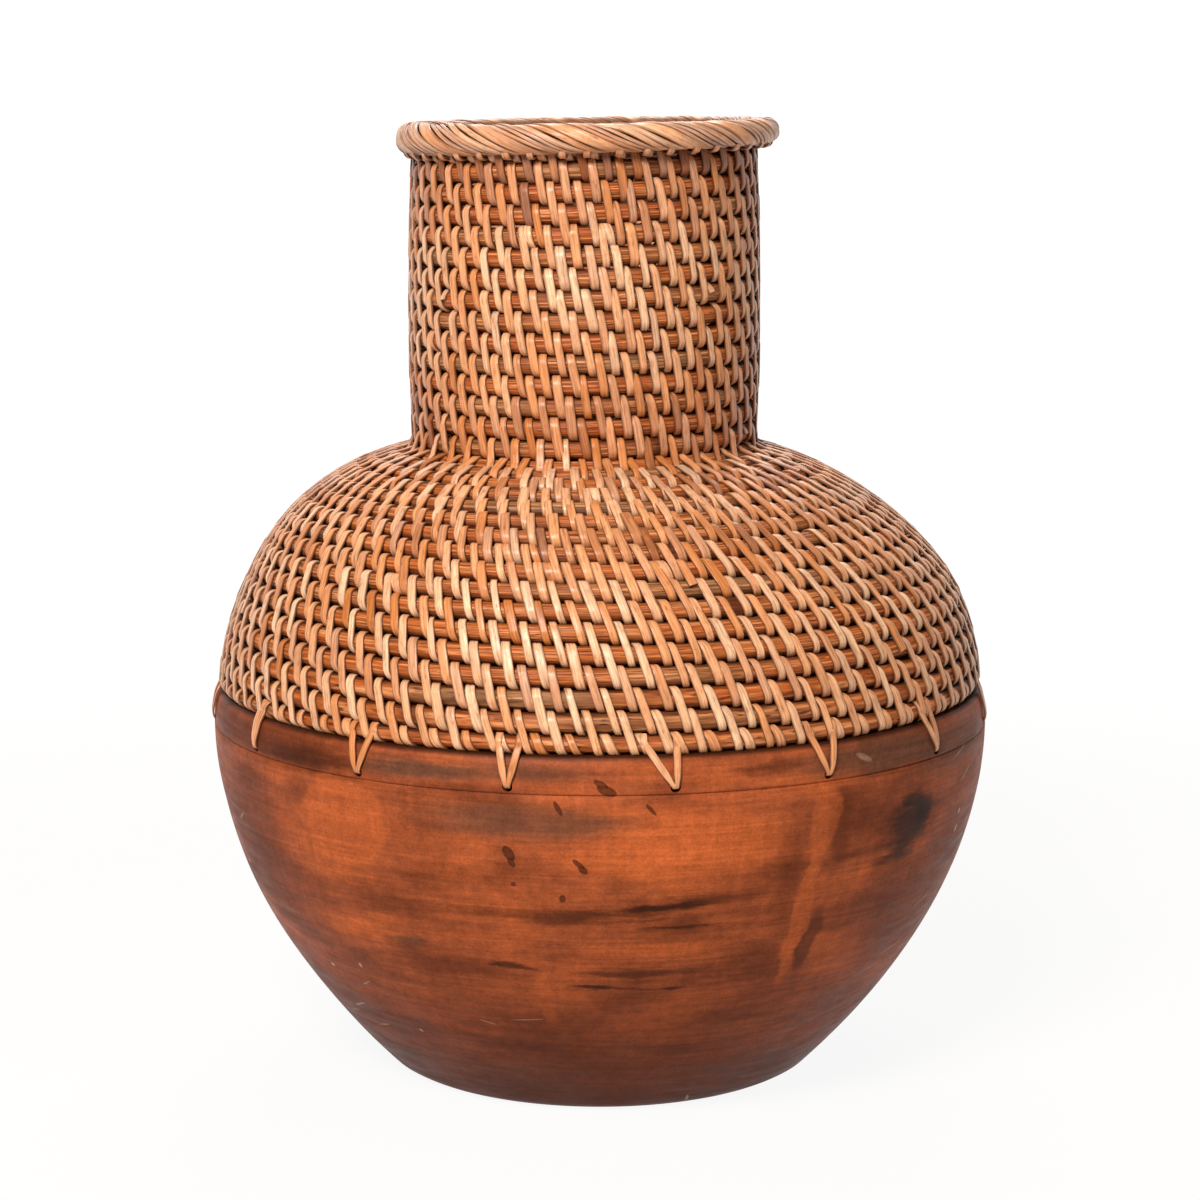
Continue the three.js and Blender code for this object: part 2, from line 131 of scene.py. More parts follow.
class CoilSettings(bpy.types.PropertyGroup):
    """Sizes and colours of the coiled cane."""

    cane: length("Cane", "Diameter of the round cane", 0.0079)
    course_gap: length("Course gap", "Gap between two courses", 0.00071)
    seat: length("Seat", "Gap between the coil and what it stands on", 0.0003)
    start: angle("Start", "Where the coil starts on the lip, right of the front", 35)
    shoulder_inset: length("Shoulder inset", "Coil's centre inside the belly radius", 0.0071)
    shoulder_dip: length("Shoulder dip", "Centre of the shoulder's curve below the lip", 0.0025)
    shoulder_rise: length("Shoulder rise", "Height of the shoulder's curve", 0.1016)
    crown_inset: length("Crown inset", "Centre of the shoulder's curve inside the neck", 0.020)
    corner: length("Corner", "Reach of the bend between shoulder and neck", 0.007)
    neck_base: length("Neck base", "Coil radius at the foot of the neck", 0.0684)
    neck_top: length("Neck top", "Coil radius at the top of the neck", 0.067)
    neck_swell: length("Neck swell", "How far the neck swells half way up", 0.0016)
    coil_top: length("Coil top", "Level at which the top course is cut off at the left", 0.38939)
    top_raise: length("Top raise", "How much higher the top course is cut off at the right", 0.0036)
    shift: length("Shift", "Sideways lean of the neck", -0.0066)
    shift_onset: length("Shift onset", "Height above the lip at which the lean sets in", 0.038)
    slope: number("Slope", "Rise to the right at the rim, growing up the neck", 0.022)
    shoulder_canes: count("Shoulder canes", "Lengths of cane on the shoulder", 5)
    neck_canes: count("Neck canes", "Lengths of cane on the neck", 3)
    core: colour("Core", "Stained round cane", "bc632b")
    core_red: colour("Core red", "Cane that took more stain", "a04a1c")
    core_light: colour("Core light", "Paler fibres of the cane", "e8a06a")
    # Dark pores of the cane, also used for the painted shade in the grooves and on the rim's core
    dark_core_and_shade: colour("Core dark", "Dark pores and grooves of the cane", "3e1505")
    core_grey: colour("Core grey", "Weathered stretches of the cane", "8a6443")


class StitchSettings(bpy.types.PropertyGroup):
    """Sizes and colours of the stitching and the lashings."""

    width: length("Width", "Width of a stitch", 0.0037)
    thickness: length("Thickness", "Thickness of the cane peel", 0.00085)
    shoulder_stitches: number("Shoulder stitches", "Stitches in a turn of the shoulder", 74.5)
    neck_stitches: number("Neck stitches", "Stitches in a turn of the neck", 40.43)
    least_spacing: length("Least spacing", "Least distance between stitches of a course", 0.0100)
    lip_slant: length("Lip slant", "Sideways run of a stitch at the lip", 0.0067)
    neck_slant: length("Neck slant", "Sideways run of a stitch on the neck", 0.0036)
    crown_slant: length("Crown slant", "Sideways run of a stitch under the neck", 0.0016)
    peel_run: count("Peel run", "Stitches made with one length of peel", 48)
    ties: count("Ties", "Lashings round the bowl", 16)
    first_tie: angle("First tie", "First lashing, right of the front", -57.4)
    tie_rise: length("Tie rise", "Lashing holes above the belly", 0.0016)
    tie_hole: length("Tie hole", "Diameter of the lashing holes", 0.004)
    tie_width: length("Tie width", "Width of a lashing", 0.003)
    peel: colour("Peel", "Fresh cane peel", "e9a06c")
    pale_peel: colour("Pale peel", "Palest cane peel", "f9caa2")
    amber_peel: colour("Amber peel", "Cane peel with more stain", "cc7b3e")
    brown_peel: colour("Brown peel", "Darkest cane peel", "8a4a23")
    grey_peel: colour("Grey peel", "Weathered cane peel", "cba893")
    # Cut edges of the peel, also used for painted shade along strips' sides and ends and inside the
    # rim
    dark_peel_and_shade: colour("Dark peel", "Cut edges and hidden ends of the peel", "4f230c")


class RimSettings(bpy.types.PropertyGroup):
    """Sizes of the wrapped rim."""

    radius: length("Radius", "Radius of the rim's centre line", 0.0742)
    level: length("Level", "Height of the rim's centre line", 0.39482)
    core: length("Core", "Radius of the rim's core cane", 0.0042)
    roll: length("Roll", "Radius at the middle of the wrapping", 0.0053)
    thickness: length("Thickness", "Thickness of the wrapping", 0.0011)
    strips: count("Strips", "Strips side by side in the wrapping", 6)
    wraps: count("Wraps", "Turns that each strip takes round the core", 7)
    shift: length("Shift", "Sideways shift of the rim on the neck", 0.002)


class StageSettings(bpy.types.PropertyGroup):
    """Camera, floor and light."""

    distance: length("Distance", "Camera in front of the vase", 1.3589)
    height: length("Height", "Camera above the floor", 0.42467)
    tilt: angle("Tilt", "Camera looking down", 9.509)
    lens: number("Lens", "Focal length in millimetres on a 36 mm sensor", 96.389)
    floor: colour("Floor", "Pale floor and backdrop", "cdcbc7")


SETTINGS = {
    "vase_bowl": BowlSettings,
    "vase_coil": CoilSettings,
    "vase_stitch": StitchSettings,
    "vase_rim": RimSettings,
    "vase_stage": StageSettings,
}

# Offsets in millimetres of the tops of a lashing's two legs, left and right of its hole
TIE_LEG_TOPS = ((-1.5, 2.5), (-5, 5.2), (-4.2, 4.2), (-12, 1), (-8, 4.5), (-9, -1.5))

# Section of a strip of peel, across and through it: flat inside, crowned and eased outside
HALF_SECTION = ((0.5, -0.5), (0.5, 0.15), (0.45, 0.4), (0.3, 0.5))
STRIP_SECTION = np.array(
    [(-0.5, -0.5), *HALF_SECTION, *((-across, deep) for across, deep in HALF_SECTION[:0:-1])]
)
# Darkening across the section, full on the cut sides and the hidden inner face, half on the eased
# corners: darker cut edges, partly painted shade along the strip's sides
STRIP_EDGE = np.array([1, 1, 1, 0.5, 0, 0, 0.5, 1])

# Values that a tube's mesh carries for its material; the edge value darkens cut edges, knots and
# stained ends, and paints shade in grooves, at ends and on hidden sides
FINISH_VALUES = ("tone", "weathered", "edge")

# Seeds of the random draws, and the range of phases that a wave may start at
CANE_SEED, STITCH_SEED, TIE_SEED, RIM_SEED = 11, 7, 19, 31
PHASES = (0, 6)

# Degrees past which an edge stays crisp on clay, on round cane and on strips of peel
SHARP_CLAY, SHARP_CANE, SHARP_PEEL = 40, 70, 50

LOOP_STEPS = 160
CANE_SIDES = 12
THINNEST_TAPER = 0.9 * MM
THINNEST_HELD_COURSE = 4.7 * MM
BOWL_SEGMENTS = 192

# Points on the side view's long curve and on each bend, and halvings that find the next loop
CROWN_POINTS, BEND_POINTS, HALVINGS = 500, 300, 40


def around(radius, level, turn):
    """Points at a radius and a level, at an angle from the front that grows to the right."""
    columns = radius * np.sin(turn), -radius * np.cos(turn), level
    return np.stack(np.broadcast_arrays(*columns), axis=-1)


def smooth(share):
    """A share from 0 to 1 with eased ends."""
    share = np.clip(share, 0, 1)
    return share * share * (3 - 2 * share)


def unit(vectors):
    """Vectors brought to length one."""
    return vectors / np.linalg.norm(vectors, axis=-1, keepdims=True)


class CoilLine:
    """The spiral that the cane follows, known by its turns from the start on the lip."""

    def __init__(self, scene):
        bowl, coil = scene.vase_bowl, scene.vase_coil
        self.start = coil.start
        self.radius = coil.cane / 2
        self.pitch = coil.cane + coil.course_gap
        self.lip_top = bowl.belly_height + bowl.lip_rise
        self.lowest = self.lip_top + coil.seat
        self.highest, self.raised = coil.coil_top, coil.top_raise
        self.shift, self.slope, self.onset = coil.shift, coil.slope, coil.shift_onset
        self.rim_level = scene.vase_rim.level
        self.draw_side_view(bowl, coil)
        self.wind()
        self.share_out(coil)

    def draw_side_view(self, bowl, coil):
        """Radius and level along the shoulder's curve, the inner corner and the neck."""
        crown_radius = coil.neck_base - coil.crown_inset
        crown_reach = bowl.belly_radius - coil.shoulder_inset - crown_radius
        crown_level = self.lip_top - coil.shoulder_dip
        lift = math.sqrt(1 - (coil.crown_inset / crown_reach) ** 2)
        self.corner = crown_level + coil.shoulder_rise * lift
        first_level = self.lowest + self.radius - self.pitch
        first = math.asin((first_level - crown_level) / coil.shoulder_rise)
        last = math.acos((coil.crown_inset + coil.corner) / crown_reach)
        sweep = np.linspace(first, last, CROWN_POINTS)
        crown_radii = crown_radius + crown_reach * np.cos(sweep)
        crown_levels = crown_level + coil.shoulder_rise * np.sin(sweep)
        crown = np.stack([crown_radii, crown_levels], axis=1)
        self.crown_top = crown[-1, 1]
        neck_foot = np.array([coil.neck_base, self.corner + coil.corner])
        neck_top = np.array([coil.neck_top, self.highest + self.pitch])
        neck_belly = (neck_foot + neck_top) / 2 + [2 * coil.neck_swell, 0]
        share = np.linspace(0, 1, BEND_POINTS)[1:, None]
        corner_point = np.array([coil.neck_base, self.corner])
        pieces = [crown]
        for a, b, c in ((crown[-1], corner_point, neck_foot), (neck_foot, neck_belly, neck_top)):
            pieces.append(a * (1 - share) ** 2 + 2 * b * share * (1 - share) + c * share**2)
        self.side = np.concatenate(pieces)
        runs = np.linalg.norm(np.diff(self.side, axis=0), axis=1)
        self.along = np.concatenate([[0], np.cumsum(runs)])
        self.heading = unit(np.gradient(self.side, axis=0))
        self.crown_length = self.along[len(crown) + len(share) - 1]

    def wind(self):
        """Place on the side view at every step, each loop one pitch straight above the last."""
        loop = self.pitch * np.arange(LOOP_STEPS) / LOOP_STEPS
        loops = [loop]
        while loop[0] < self.along[-1]:
            base = self.side_at(loop)
            near, far = loop.copy(), loop + 2 * self.pitch
            for _ in range(HALVINGS):
                middle = (near + far) / 2
                short = np.linalg.norm(self.side_at(middle) - base, axis=1) < self.pitch
                near, far = np.where(short, middle, near), np.where(short, far, middle)
            loop = far
            loops.append(loop)
        self.places = np.concatenate(loops)
        self.turns = np.arange(len(self.places)) / LOOP_STEPS

    def side_at(self, place):
        """Radius and level at a place along the side view."""
        columns = [np.interp(place, self.along, self.side[:, axis]) for axis in (0, 1)]
        return np.stack(columns, axis=-1)

    def share_out(self, coil):
        """Turns at which each length of cane starts and ends."""
        low, high = self.reach(self.turns)
        thick = self.turns[high - low >= THINNEST_TAPER]
        neck = np.interp(self.crown_length, self.places, self.turns)
        self.first, self.neck, self.last = thick[0], neck, thick[-1]
        self.lengths = []
        for name, start, end, number_of in (
            ("shoulder_cane", self.first, self.neck, coil.shoulder_canes),
            ("neck_cane", self.neck, self.last, coil.neck_canes),
        ):
            ends = np.linspace(start, end, number_of + 1)
            for number_on, (begin, finish) in enumerate(zip(ends, ends[1:]), 1):
                self.lengths.append((f"{name}_{number_on}", begin, finish))

    def centre(self, turn):
        """Radius and level of the cane's centre, and its course's direction upwards."""
        place = np.interp(turn, self.turns, self.places)
        heading = [np.interp(place, self.along, self.heading[:, axis]) for axis in (0, 1)]
        return self.side_at(place), unit(np.stack(heading, axis=-1))

    def radius_at(self, turn):
        """Radius of the cane's centre line round the vase at one turn."""
        return self.centre(np.array([turn]))[0][0, 0]

    def reach(self, turn):
        """How far the cane reaches down and up its course, thinned on the lip and under the rim."""
        level = self.centre(turn)[0][..., 1]
        low = np.maximum(-self.radius, self.lowest - level)
        cut = self.highest + self.raised * (1 + np.sin(self.angle(turn))) / 2
        high = np.minimum(self.radius, cut - level)
        return low, high

    def angle(self, turn):
        return self.start + FULL_TURN * turn

    def over(self, turn, tilt, lift):
        """Radius, level and outward direction on the cane's skin, tilted upwards from level."""
        centre, heading = self.centre(turn)
        low, high = self.reach(turn)
        outward = np.stack([heading[..., 1], -heading[..., 0]], axis=-1)
        up = (low + high) / 2 + (np.maximum(high - low, 0) / 2 + lift) * np.sin(tilt)
        out = (self.radius + lift) * np.cos(tilt)
        place = centre + heading * up[..., None] + outward * out[..., None]
        facing = heading * np.sin(tilt)[..., None] + outward * np.cos(tilt)[..., None]
        return place[..., 0], place[..., 1], facing

    def lean(self, points):
        """Points moved with the hand-made lean: a shift on the shoulder and a slope up the neck."""
        leaning = points[..., 2] - self.lip_top - self.onset
        climbed = (points[..., 2] - self.crown_top) / (self.rim_level - self.crown_top)
        moved = points.copy()
        moved[..., 0] += self.shift * smooth(leaning / (self.corner - self.lip_top - self.onset))
        moved[..., 2] += self.slope * points[..., 0] * np.maximum(climbed, 0)
        return moved


def strip_tube(points, facing, widths, thickness):
    """Rings of a flat strip along points, its outer side towards facing."""
    heading = unit(np.gradient(points, axis=0))
    across = unit(np.cross(heading, facing))
    out = np.cross(across, heading)
    wide = STRIP_SECTION[:, 0] * np.asarray(widths)[:, None]
    deep = np.broadcast_to(STRIP_SECTION[:, 1] * thickness, wide.shape)
    return points[:, None] + across[:, None] * wide[..., None] + out[:, None] * deep[..., None]


class TubeMesh:
    """Closed tubes gathered into one mesh, with grain coordinates and per-tube finish values."""

    def __init__(self):
        self.points, self.faces, self.caps, self.grain = [], [], [], []
        self.values = {name: [] for name in FINISH_VALUES}
        self.total = 0

    def add(self, rings, tone=0.5, weathered=0.0, edge=0.0, closed=False, offset=0.0):
        """A tube through rings, its finish values given for all of it, per ring or per side."""
        steps, sides = rings.shape[:2]
        runs = np.linalg.norm(np.diff(rings.mean(axis=1), axis=0), axis=1)
        along = np.concatenate([[0], np.cumsum(runs)]) + offset
        span = np.linalg.norm(rings[0] - np.roll(rings[0], -1, axis=0), axis=1)
        girth = np.concatenate([[0], np.cumsum(span)])
        rows = steps if closed else steps - 1
        here = np.arange(rows)[:, None] * sides + np.arange(sides)[None]
        ahead = np.roll(here, -1, axis=1)
        wrap = steps * sides
        quads = np.stack([here, ahead, (ahead + sides) % wrap, (here + sides) % wrap], axis=-1)
        ends = np.append(along, along[-1] + (runs[-1] if closed else 0))
        row, side = np.arange(rows)[:, None], np.arange(sides)[None]
        corners = [(row, side), (row, side + 1), (row + 1, side + 1), (row + 1, side)]
        grain = [np.stack(np.broadcast_arrays(ends[r], girth[s]), axis=-1) for r, s in corners]
        self.points.append(rings.reshape(-1, 3))
        self.faces.append(quads.reshape(-1, 4) + self.total)
        self.grain.append(np.stack(grain, axis=2).reshape(-1, 2))
        if not closed:
            first = np.arange(sides)[::-1] + self.total
            last = np.arange(sides) + (steps - 1) * sides + self.total
            self.caps += [(first, along[0]), (last, along[-1])]
        for name, value in zip(FINISH_VALUES, (tone, weathered, edge)):
            self.values[name].append(np.broadcast_to(value, (steps, sides)).ravel())
        self.total += steps * sides

    def build(self, name, material, sharp):
        """An object of the gathered tubes, faces outwards, riding on the vase."""
        points = np.concatenate(self.points)
        faces = np.concatenate(self.faces)
        a, b, c, d = (points[faces[:, corner]] for corner in range(4))
        volume = np.einsum("ij,ij->", np.cross(a, b), c) + np.einsum("ij,ij->", np.cross(a, c), d)
        flip = volume < 0
        polygons = [tuple(face) for face in (faces[:, ::-1] if flip else faces)]
        grain = np.concatenate(self.grain).reshape(-1, 4, 2)
        grain = (grain[:, ::-1] if flip else grain).reshape(-1, 2)
        cap_grain = []
        for cap, along in self.caps:
            polygons.append(tuple(cap[::-1] if flip else cap))
            cap_grain += [(along, 0)] * len(cap)
        mesh = bpy.data.meshes.new(name)
        mesh.from_pydata(points, [], polygons)
        layer = mesh.uv_layers.new(name="grain")
        layer.data.foreach_set("uv", np.concatenate([grain.ravel(), np.ravel(cap_grain)]))
        for value_name, values in self.values.items():
            attribute = mesh.attributes.new(value_name, "FLOAT", "POINT")
            attribute.data.foreach_set("value", np.concatenate(values).astype(np.float32))
        return finish_piece(name, mesh, material, sharp)


def finish_piece(name, mesh, material, sharp):
    """A named object of a mesh, smooth but for edges sharper than an angle, riding on the vase."""
    mesh.validate()
    mesh.shade_smooth()
    mesh.set_sharp_from_angle(angle=math.radians(sharp))
    mesh.materials.clear()
    mesh.materials.append(material)
    piece = bpy.data.objects.new(name, mesh)
    bpy.context.scene.collection.objects.link(piece)
    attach(piece, "root")
    return piece


def add(tree, kind, sockets=None, stops=None, **settings):
    """A node with its settings, colour stops, and values or links on its inputs."""
    node = tree.nodes.new(kind)
    for name, value in settings.items():
        setattr(node, name, value)
    for name, value in (sockets or {}).items():
        if isinstance(value, bpy.types.NodeSocket):
            tree.links.new(value, node.inputs[name])
        else:
            node.inputs[name].default_value = value
    for place, (position, shade) in enumerate(stops or []):
        elements = node.color_ramp.elements
        element = elements[place] if place < len(elements) else elements.new(position)
        element.position, element.color = position, shade
    return node


def emptied(holder):
    """The node tree of a material or a world, without the nodes that it came with."""
    holder.use_nodes = True
    holder.node_tree.nodes.clear()
    return holder.node_tree


def new_material(name):
    """An empty node material with its surface shader in place."""
    material = bpy.data.materials.new(name)
    tree = emptied(material)
    shader = add(tree, "ShaderNodeBsdfPrincipled")
    add(tree, "ShaderNodeOutputMaterial", {"Surface": shader.outputs[0]})
    return material, tree, shader


# Inputs of the node that moves a value from one range to another, in order
RANGE_INPUTS = ("Value", "From Min", "From Max", "To Min", "To Max")

# Values between which most of a noise lies
NOISE_RANGE = (0.3, 0.7)


def laid_over(tree, shade, stain, value, before, after, easing="LINEAR"):
    """A shade with a stain over it, as strong as a value says when moved between two ranges."""
    sockets = dict(zip(RANGE_INPUTS, (value, *before, *after)))
    share = add(tree, "ShaderNodeMapRange", sockets, interpolation_type=easing).outputs[0]
    sockets = {0: share, 6: shade, 7: stain}
    return add(tree, "ShaderNodeMix", sockets, data_type="RGBA").outputs[2]


def shaded(tree, shade, marks, least, most):
    """A colour made darker and lighter by marks."""
    sockets = dict(zip(RANGE_INPUTS, (marks.outputs[0], *NOISE_RANGE, least, most)))
    factor = add(tree, "ShaderNodeMapRange", sockets).outputs[0]
    sockets = {0: shade, "Scale": factor}
    return add(tree, "ShaderNodeVectorMath", sockets, operation="SCALE").outputs[0]


def scaled_noise(tree, place, sizes, detail, roughness=0.5):
    """Clouds of noise with a size in metres along each axis."""
    sockets = {0: place, 1: [1 / size for size in sizes]}
    stretched = add(tree, "ShaderNodeVectorMath", sockets, operation="MULTIPLY").outputs[0]
    sockets = {"Vector": stretched, "Scale": 1.0, "Detail": detail, "Roughness": roughness}
    return add(tree, "ShaderNodeTexNoise", sockets)


def dress(tree, shader, shade, gloss, relief, reflection):
    """Gives a surface its colour, its roughness and fine relief by marks, and its reflection."""
    marks, *roughness = gloss
    sockets = dict(zip(RANGE_INPUTS, (marks.outputs[0], *NOISE_RANGE, *roughness)))
    rough = add(tree, "ShaderNodeMapRange", sockets).outputs[0]
    marks, strength, depth = relief
    sockets = {"Height": marks.outputs[0], "Strength": strength, "Distance": depth}
    bump = add(tree, "ShaderNodeBump", sockets).outputs[0]
    for name, value in (("Base Color", shade), ("Roughness", rough), ("Normal", bump)):
        tree.links.new(value, shader.inputs[name])
    shader.inputs["Specular IOR Level"].default_value = reflection


def grain_and_finish(tree):
    """Grain coordinates and the finish values that a tube's mesh carries."""
    grain = add(tree, "ShaderNodeUVMap", uv_map="grain").outputs[0]
    values = [add(tree, "ShaderNodeAttribute", attribute_name=name) for name in FINISH_VALUES]
    return grain, *(value.outputs["Fac"] for value in values)


# Stains on the clay: angle right of the front, level in millimetres, half width in degrees,
# half height in millimetres, tilt in degrees, colour, strength, and inner share without fading
STAINS = (
    (-54, 156, 24, 9, 0, "brown_clay", 0.88, 0.3),
    (-45, 153, 13, 6, 0, "smoke_and_shade", 0.65, 0.2),
    (-26, 156, 10, 4.5, 0, "grey_clay", 0.85, 0.3),
    (-13, 157, 14, 4, 0, "grey_clay", 0.6, 0.2),
    (16, 155, 7, 4, 0, "bright_clay", 0.5, 0.2),
    (24.6, 157, 6, 3.5, 0, "smoke_and_shade", 0.6, 0.2),
    (42, 156, 16, 8, 0, "grey_clay", 0.8, 0.3),
    (62, 152, 14, 12, 0, "grey_clay", 0.7, 0.2),
    (11, 129, 13, 18, 0, "bright_clay", 0.95, 0.3),
    (21, 128, 7, 13, 0, "bright_clay", 0.6, 0.2),
    (2, 121, 9, 7, 0, "bright_clay", 0.55, 0.2),
    (8, 84, 11, 5, 0, "bright_clay", 0.7, 0.2),
    (-18, 88, 10, 3.5, 0, "bright_clay", 0.4, 0.1),
    (-20, 118, 9, 8, 0, "bright_clay", 0.35, 0.1),
    (-38.4, 131, 7.2, 16.5, 0, "bright_clay", 0.62, 0.8),
    (-41, 109, 9, 7, 0, "bright_clay", 0.45, 0.2),
    (-38.9, 83.6, 9, 5.5, 4, "bright_clay", 0.65, 0.3),
    (-11, 138, 16, 8, -2, "grey_clay", 0.72, 0.3),
    (-1, 136, 8, 7, 0, "grey_clay", 0.4, 0.1),
    (-25, 131, 6, 14, 0, "brown_clay", 0.4, 0.2),
    (-31, 98, 10, 5, 0, "brown_clay", 0.65, 0.2),
    (-62, 112, 13, 36, 0, "brown_clay", 0.75, 0.2),
    (-58, 84, 9, 13, 0, "brown_clay", 0.45, 0.1),
    (-22.7, 73.7, 9, 6, 0, "brown_clay", 0.7, 0.2),
    (-30, 82.4, 4, 4, 0, "grey_clay", 0.5, 0.2),
    (-13, 75.8, 4.4, 1.5, -32, "smoke_and_shade", 0.75, 0.3),
    (-5.3, 98.6, 8, 4.5, 0, "smoke_and_shade", 0.62, 0.1),
    (-15.3, 99.4, 6, 2.4, -8, "smoke_and_shade", 0.45, 0.1),
    (27.4, 108, 2.4, 28, 0, "brown_clay", 0.5, 0.3),
    (25, 76, 5, 9, 0, "brown_clay", 0.65, 0.2),
    (35.2, 130, 2.2, 19, 0, "brown_clay", 0.75, 0.4),
    (33.2, 80, 1.7, 16, -2, "brown_clay", 0.85, 0.5),
    (32.2, 133, 2.2, 16, -2, "bright_clay", 0.5, 0.7),
    (30.6, 92, 1.5, 27, -1.5, "bright_clay", 0.62, 0.7),
    (42, 130, 9, 12, 0, "brown_clay", 0.8, 0.2),
    (52, 88, 15, 24, 0, "brown_clay", 0.55, 0.2),
    (68, 90, 12, 50, 0, "brown_clay", 0.5, 0.2),
    (41.3, 107, 1.8, 7, -8, "bright_clay", 0.4, 0.3),
    (40.7, 117, 5, 3.5, 0, "smoke_and_shade", 0.4, 0.1),
    (50, 124, 7, 12, -10, "smoke_and_shade", 0.88, 0.3),
    (49.6, 134, 3.4, 4.5, 0, "smoke_and_shade", 0.8, 0.3),
    (47.6, 113, 3.8, 6, -12, "smoke_and_shade", 0.75, 0.2),
    (53, 128, 2.6, 6, 0, "smoke_and_shade", 0.75, 0.3),
    (9.3, 103, 9, 1.8, 9, "smoke_and_shade", 0.85, 0.2),
    (14, 105.6, 10.5, 3, 6, "smoke_and_shade", 0.6, 0.1),
    (3, 100, 9, 2.2, 0, "smoke_and_shade", 0.55, 0.1),
    (12.8, 94, 7.5, 0.8, 2, "smoke_and_shade", 0.65, 0.3),
    (7, 97.4, 9, 0.7, 3, "smoke_and_shade", 0.45, 0.2),
    (5, 73.4, 12, 2, 1, "smoke_and_shade", 0.6, 0.2),
    (-0.6, 67.3, 4.6, 1.5, -3, "smoke_and_shade", 0.85, 0.25),
    (10.6, 65.8, 3, 1.1, 4, "smoke_and_shade", 0.85, 0.25),
    (4, 66.2, 8, 1.1, 0, "smoke_and_shade", 0.5, 0.2),
    (47, 49, 11, 8, 0, "grey_clay", 0.45, 0.1),
    (40.9, 19.5, 10, 8, 0, "smoke_and_shade", 0.35, 0.1),
    (17.3, 33.3, 10, 5, 0, "smoke_and_shade", 0.45, 0.1),
    (-20.5, 36.9, 9, 4, 0, "smoke_and_shade", 0.4, 0.1),
    (2, 24, 12, 4, 0, "smoke_and_shade", 0.35, 0.1),
    (-48, 17, 13, 8, 0, "smoke_and_shade", 0.3, 0.1),
    (27.6, 43, 7, 6, 0, "bright_clay", 0.35, 0.1),
    (-8.7, 61, 1.6, 14, 0, "bright_clay", 0.42, 0.5),
    (118, 112, 15, 12, 0, "smoke_and_shade", 0.6, 0.2),
    (112, 121, 6, 15, 8, "smoke_and_shade", 0.7, 0.3),
    (150, 82, 20, 3, 3, "smoke_and_shade", 0.75, 0.2),
    (143, 86, 12, 1.4, 5, "smoke_and_shade", 0.7, 0.3),
    (-136, 118, 16, 22, 0, "bright_clay", 0.75, 0.2),
    (-104, 74, 16, 4, 2, "smoke_and_shade", 0.6, 0.1),
    (-112, 70, 8, 1.4, -4, "smoke_and_shade", 0.75, 0.3),
    (-95, 112, 4, 30, 2, "brown_clay", 0.5, 0.1),
    (-150, 140, 22, 7, 0, "grey_clay", 0.75, 0.3),
    (100, 72, 16, 14, 0, "bright_clay", 0.55, 0.1),
    (168, 128, 14, 18, 0, "bright_clay", 0.7, 0.2),
    (176, 100, 3, 30, 2, "brown_clay", 0.5, 0.1),
    (-172, 96, 13, 3, 2, "smoke_and_shade", 0.7, 0.2),
    (130, 157, 40, 9, 0, "grey_clay", 0.7, 0.3),
    (-128, 157, 30, 9, 0, "brown_clay", 0.7, 0.3),
)

# How far a stain fades out beyond its half width and half height
STAIN_SPREAD = 1.25

# A stain this many millimetres high for each degree of its width is an upright run
UPRIGHT = 2.2

# Levels in millimetres over which the darker clay towards the foot fades out and the painted
# shade on the lip under the lowest course sets in, and the strength of each
FOOT_FADE = (0, 80)
LIP_SHADE_RISE = (161.5, 163.6)
FOOT_DARKENING, LIP_SHADE_STRENGTH = 0.9, 0.9

# Dried water drops, a dark tide line round a paler middle: angle, level, half sizes and tilt
DROPS = (
    (0.1, 153.4, 0.8, 2.2, 20),
    (0.9, 150.9, 1.2, 2.8, 20),
    (-5.6, 143.9, 0.42, 3.2, 10),
    (-12.4, 125.2, 0.85, 3.4, 8),
    (-12.1, 121.6, 0.5, 2.4, 8),
    (-12.0, 112.5, 0.4, 1.0, 0),
    (-2.9, 121.6, 0.55, 2.4, 18),
    (-2.3, 119.2, 0.65, 2.0, 10),
    (6.8, 143.3, 0.38, 2.6, 16),
    (-5.2, 107.0, 0.5, 1.8, 0),
)

# Strength and full share of a drop's tide line and of its paler middle, how far the middle lies
# below the drop's own in millimetres, and its shares of the drop's half sizes
TIDE_LINE, DROP_MIDDLE = (0.72, 0.8), (0.6, 0.6)
MIDDLE_BELOW, MIDDLE_WIDTH, MIDDLE_HEIGHT = 0.2, 0.7, 0.75

# Chips and scratches down to the pale clay: angle, level, half sizes, tilt and strength
CHIPS = (
    (65.7, 120.5, 0.45, 1.5, 0, 0.9),
    (66.1, 112.6, 0.45, 2.0, -8, 0.9),
    (-52.2, 60, 0.7, 0.9, 0, 0.8),
    (-43, 65, 0.4, 1.3, 0, 0.7),
    (-57, 35.3, 3.0, 0.5, 25, 0.45),
    (-52, 41, 4.0, 0.45, 38, 0.5),
    (-48, 33, 3.4, 0.4, 30, 0.45),
    (-44, 56, 2.6, 0.35, 50, 0.4),
    (-70.5, 95.4, 1.5, 0.9, 20, 0.4),
    (-66, 118, 2.6, 0.5, 60, 0.4),
    (-36.5, 36, 0.4, 0.9, 20, 0.8),
    (-12.5, 50, 3.6, 0.3, 14, 0.4),
    (-20, 47, 2.4, 0.3, -30, 0.35),
    (58, 64, 6.0, 0.4, 24, 0.4),
    (52, 57, 5.0, 0.35, 18, 0.4),
    (62, 84, 5.0, 0.4, 36, 0.35),
    (66, 136, 4.0, 0.5, 55, 0.35),
    (63, 147, 4.4, 0.4, 40, 0.35),
    (39, 156, 1.0, 3.0, 30, 0.3),
    (22.5, 3.5, 0.5, 2.4, 10, 0.8),
    (141, 88, 0.6, 1.8, 0, 0.8),
    (160, 60, 5.0, 0.4, 20, 0.4),
    (-118, 104, 0.5, 1.5, 0, 0.8),
    (-140, 54, 4.0, 0.4, -26, 0.4),
)

# Inner share of a chip without fading
CHIP_FULL = 0.5


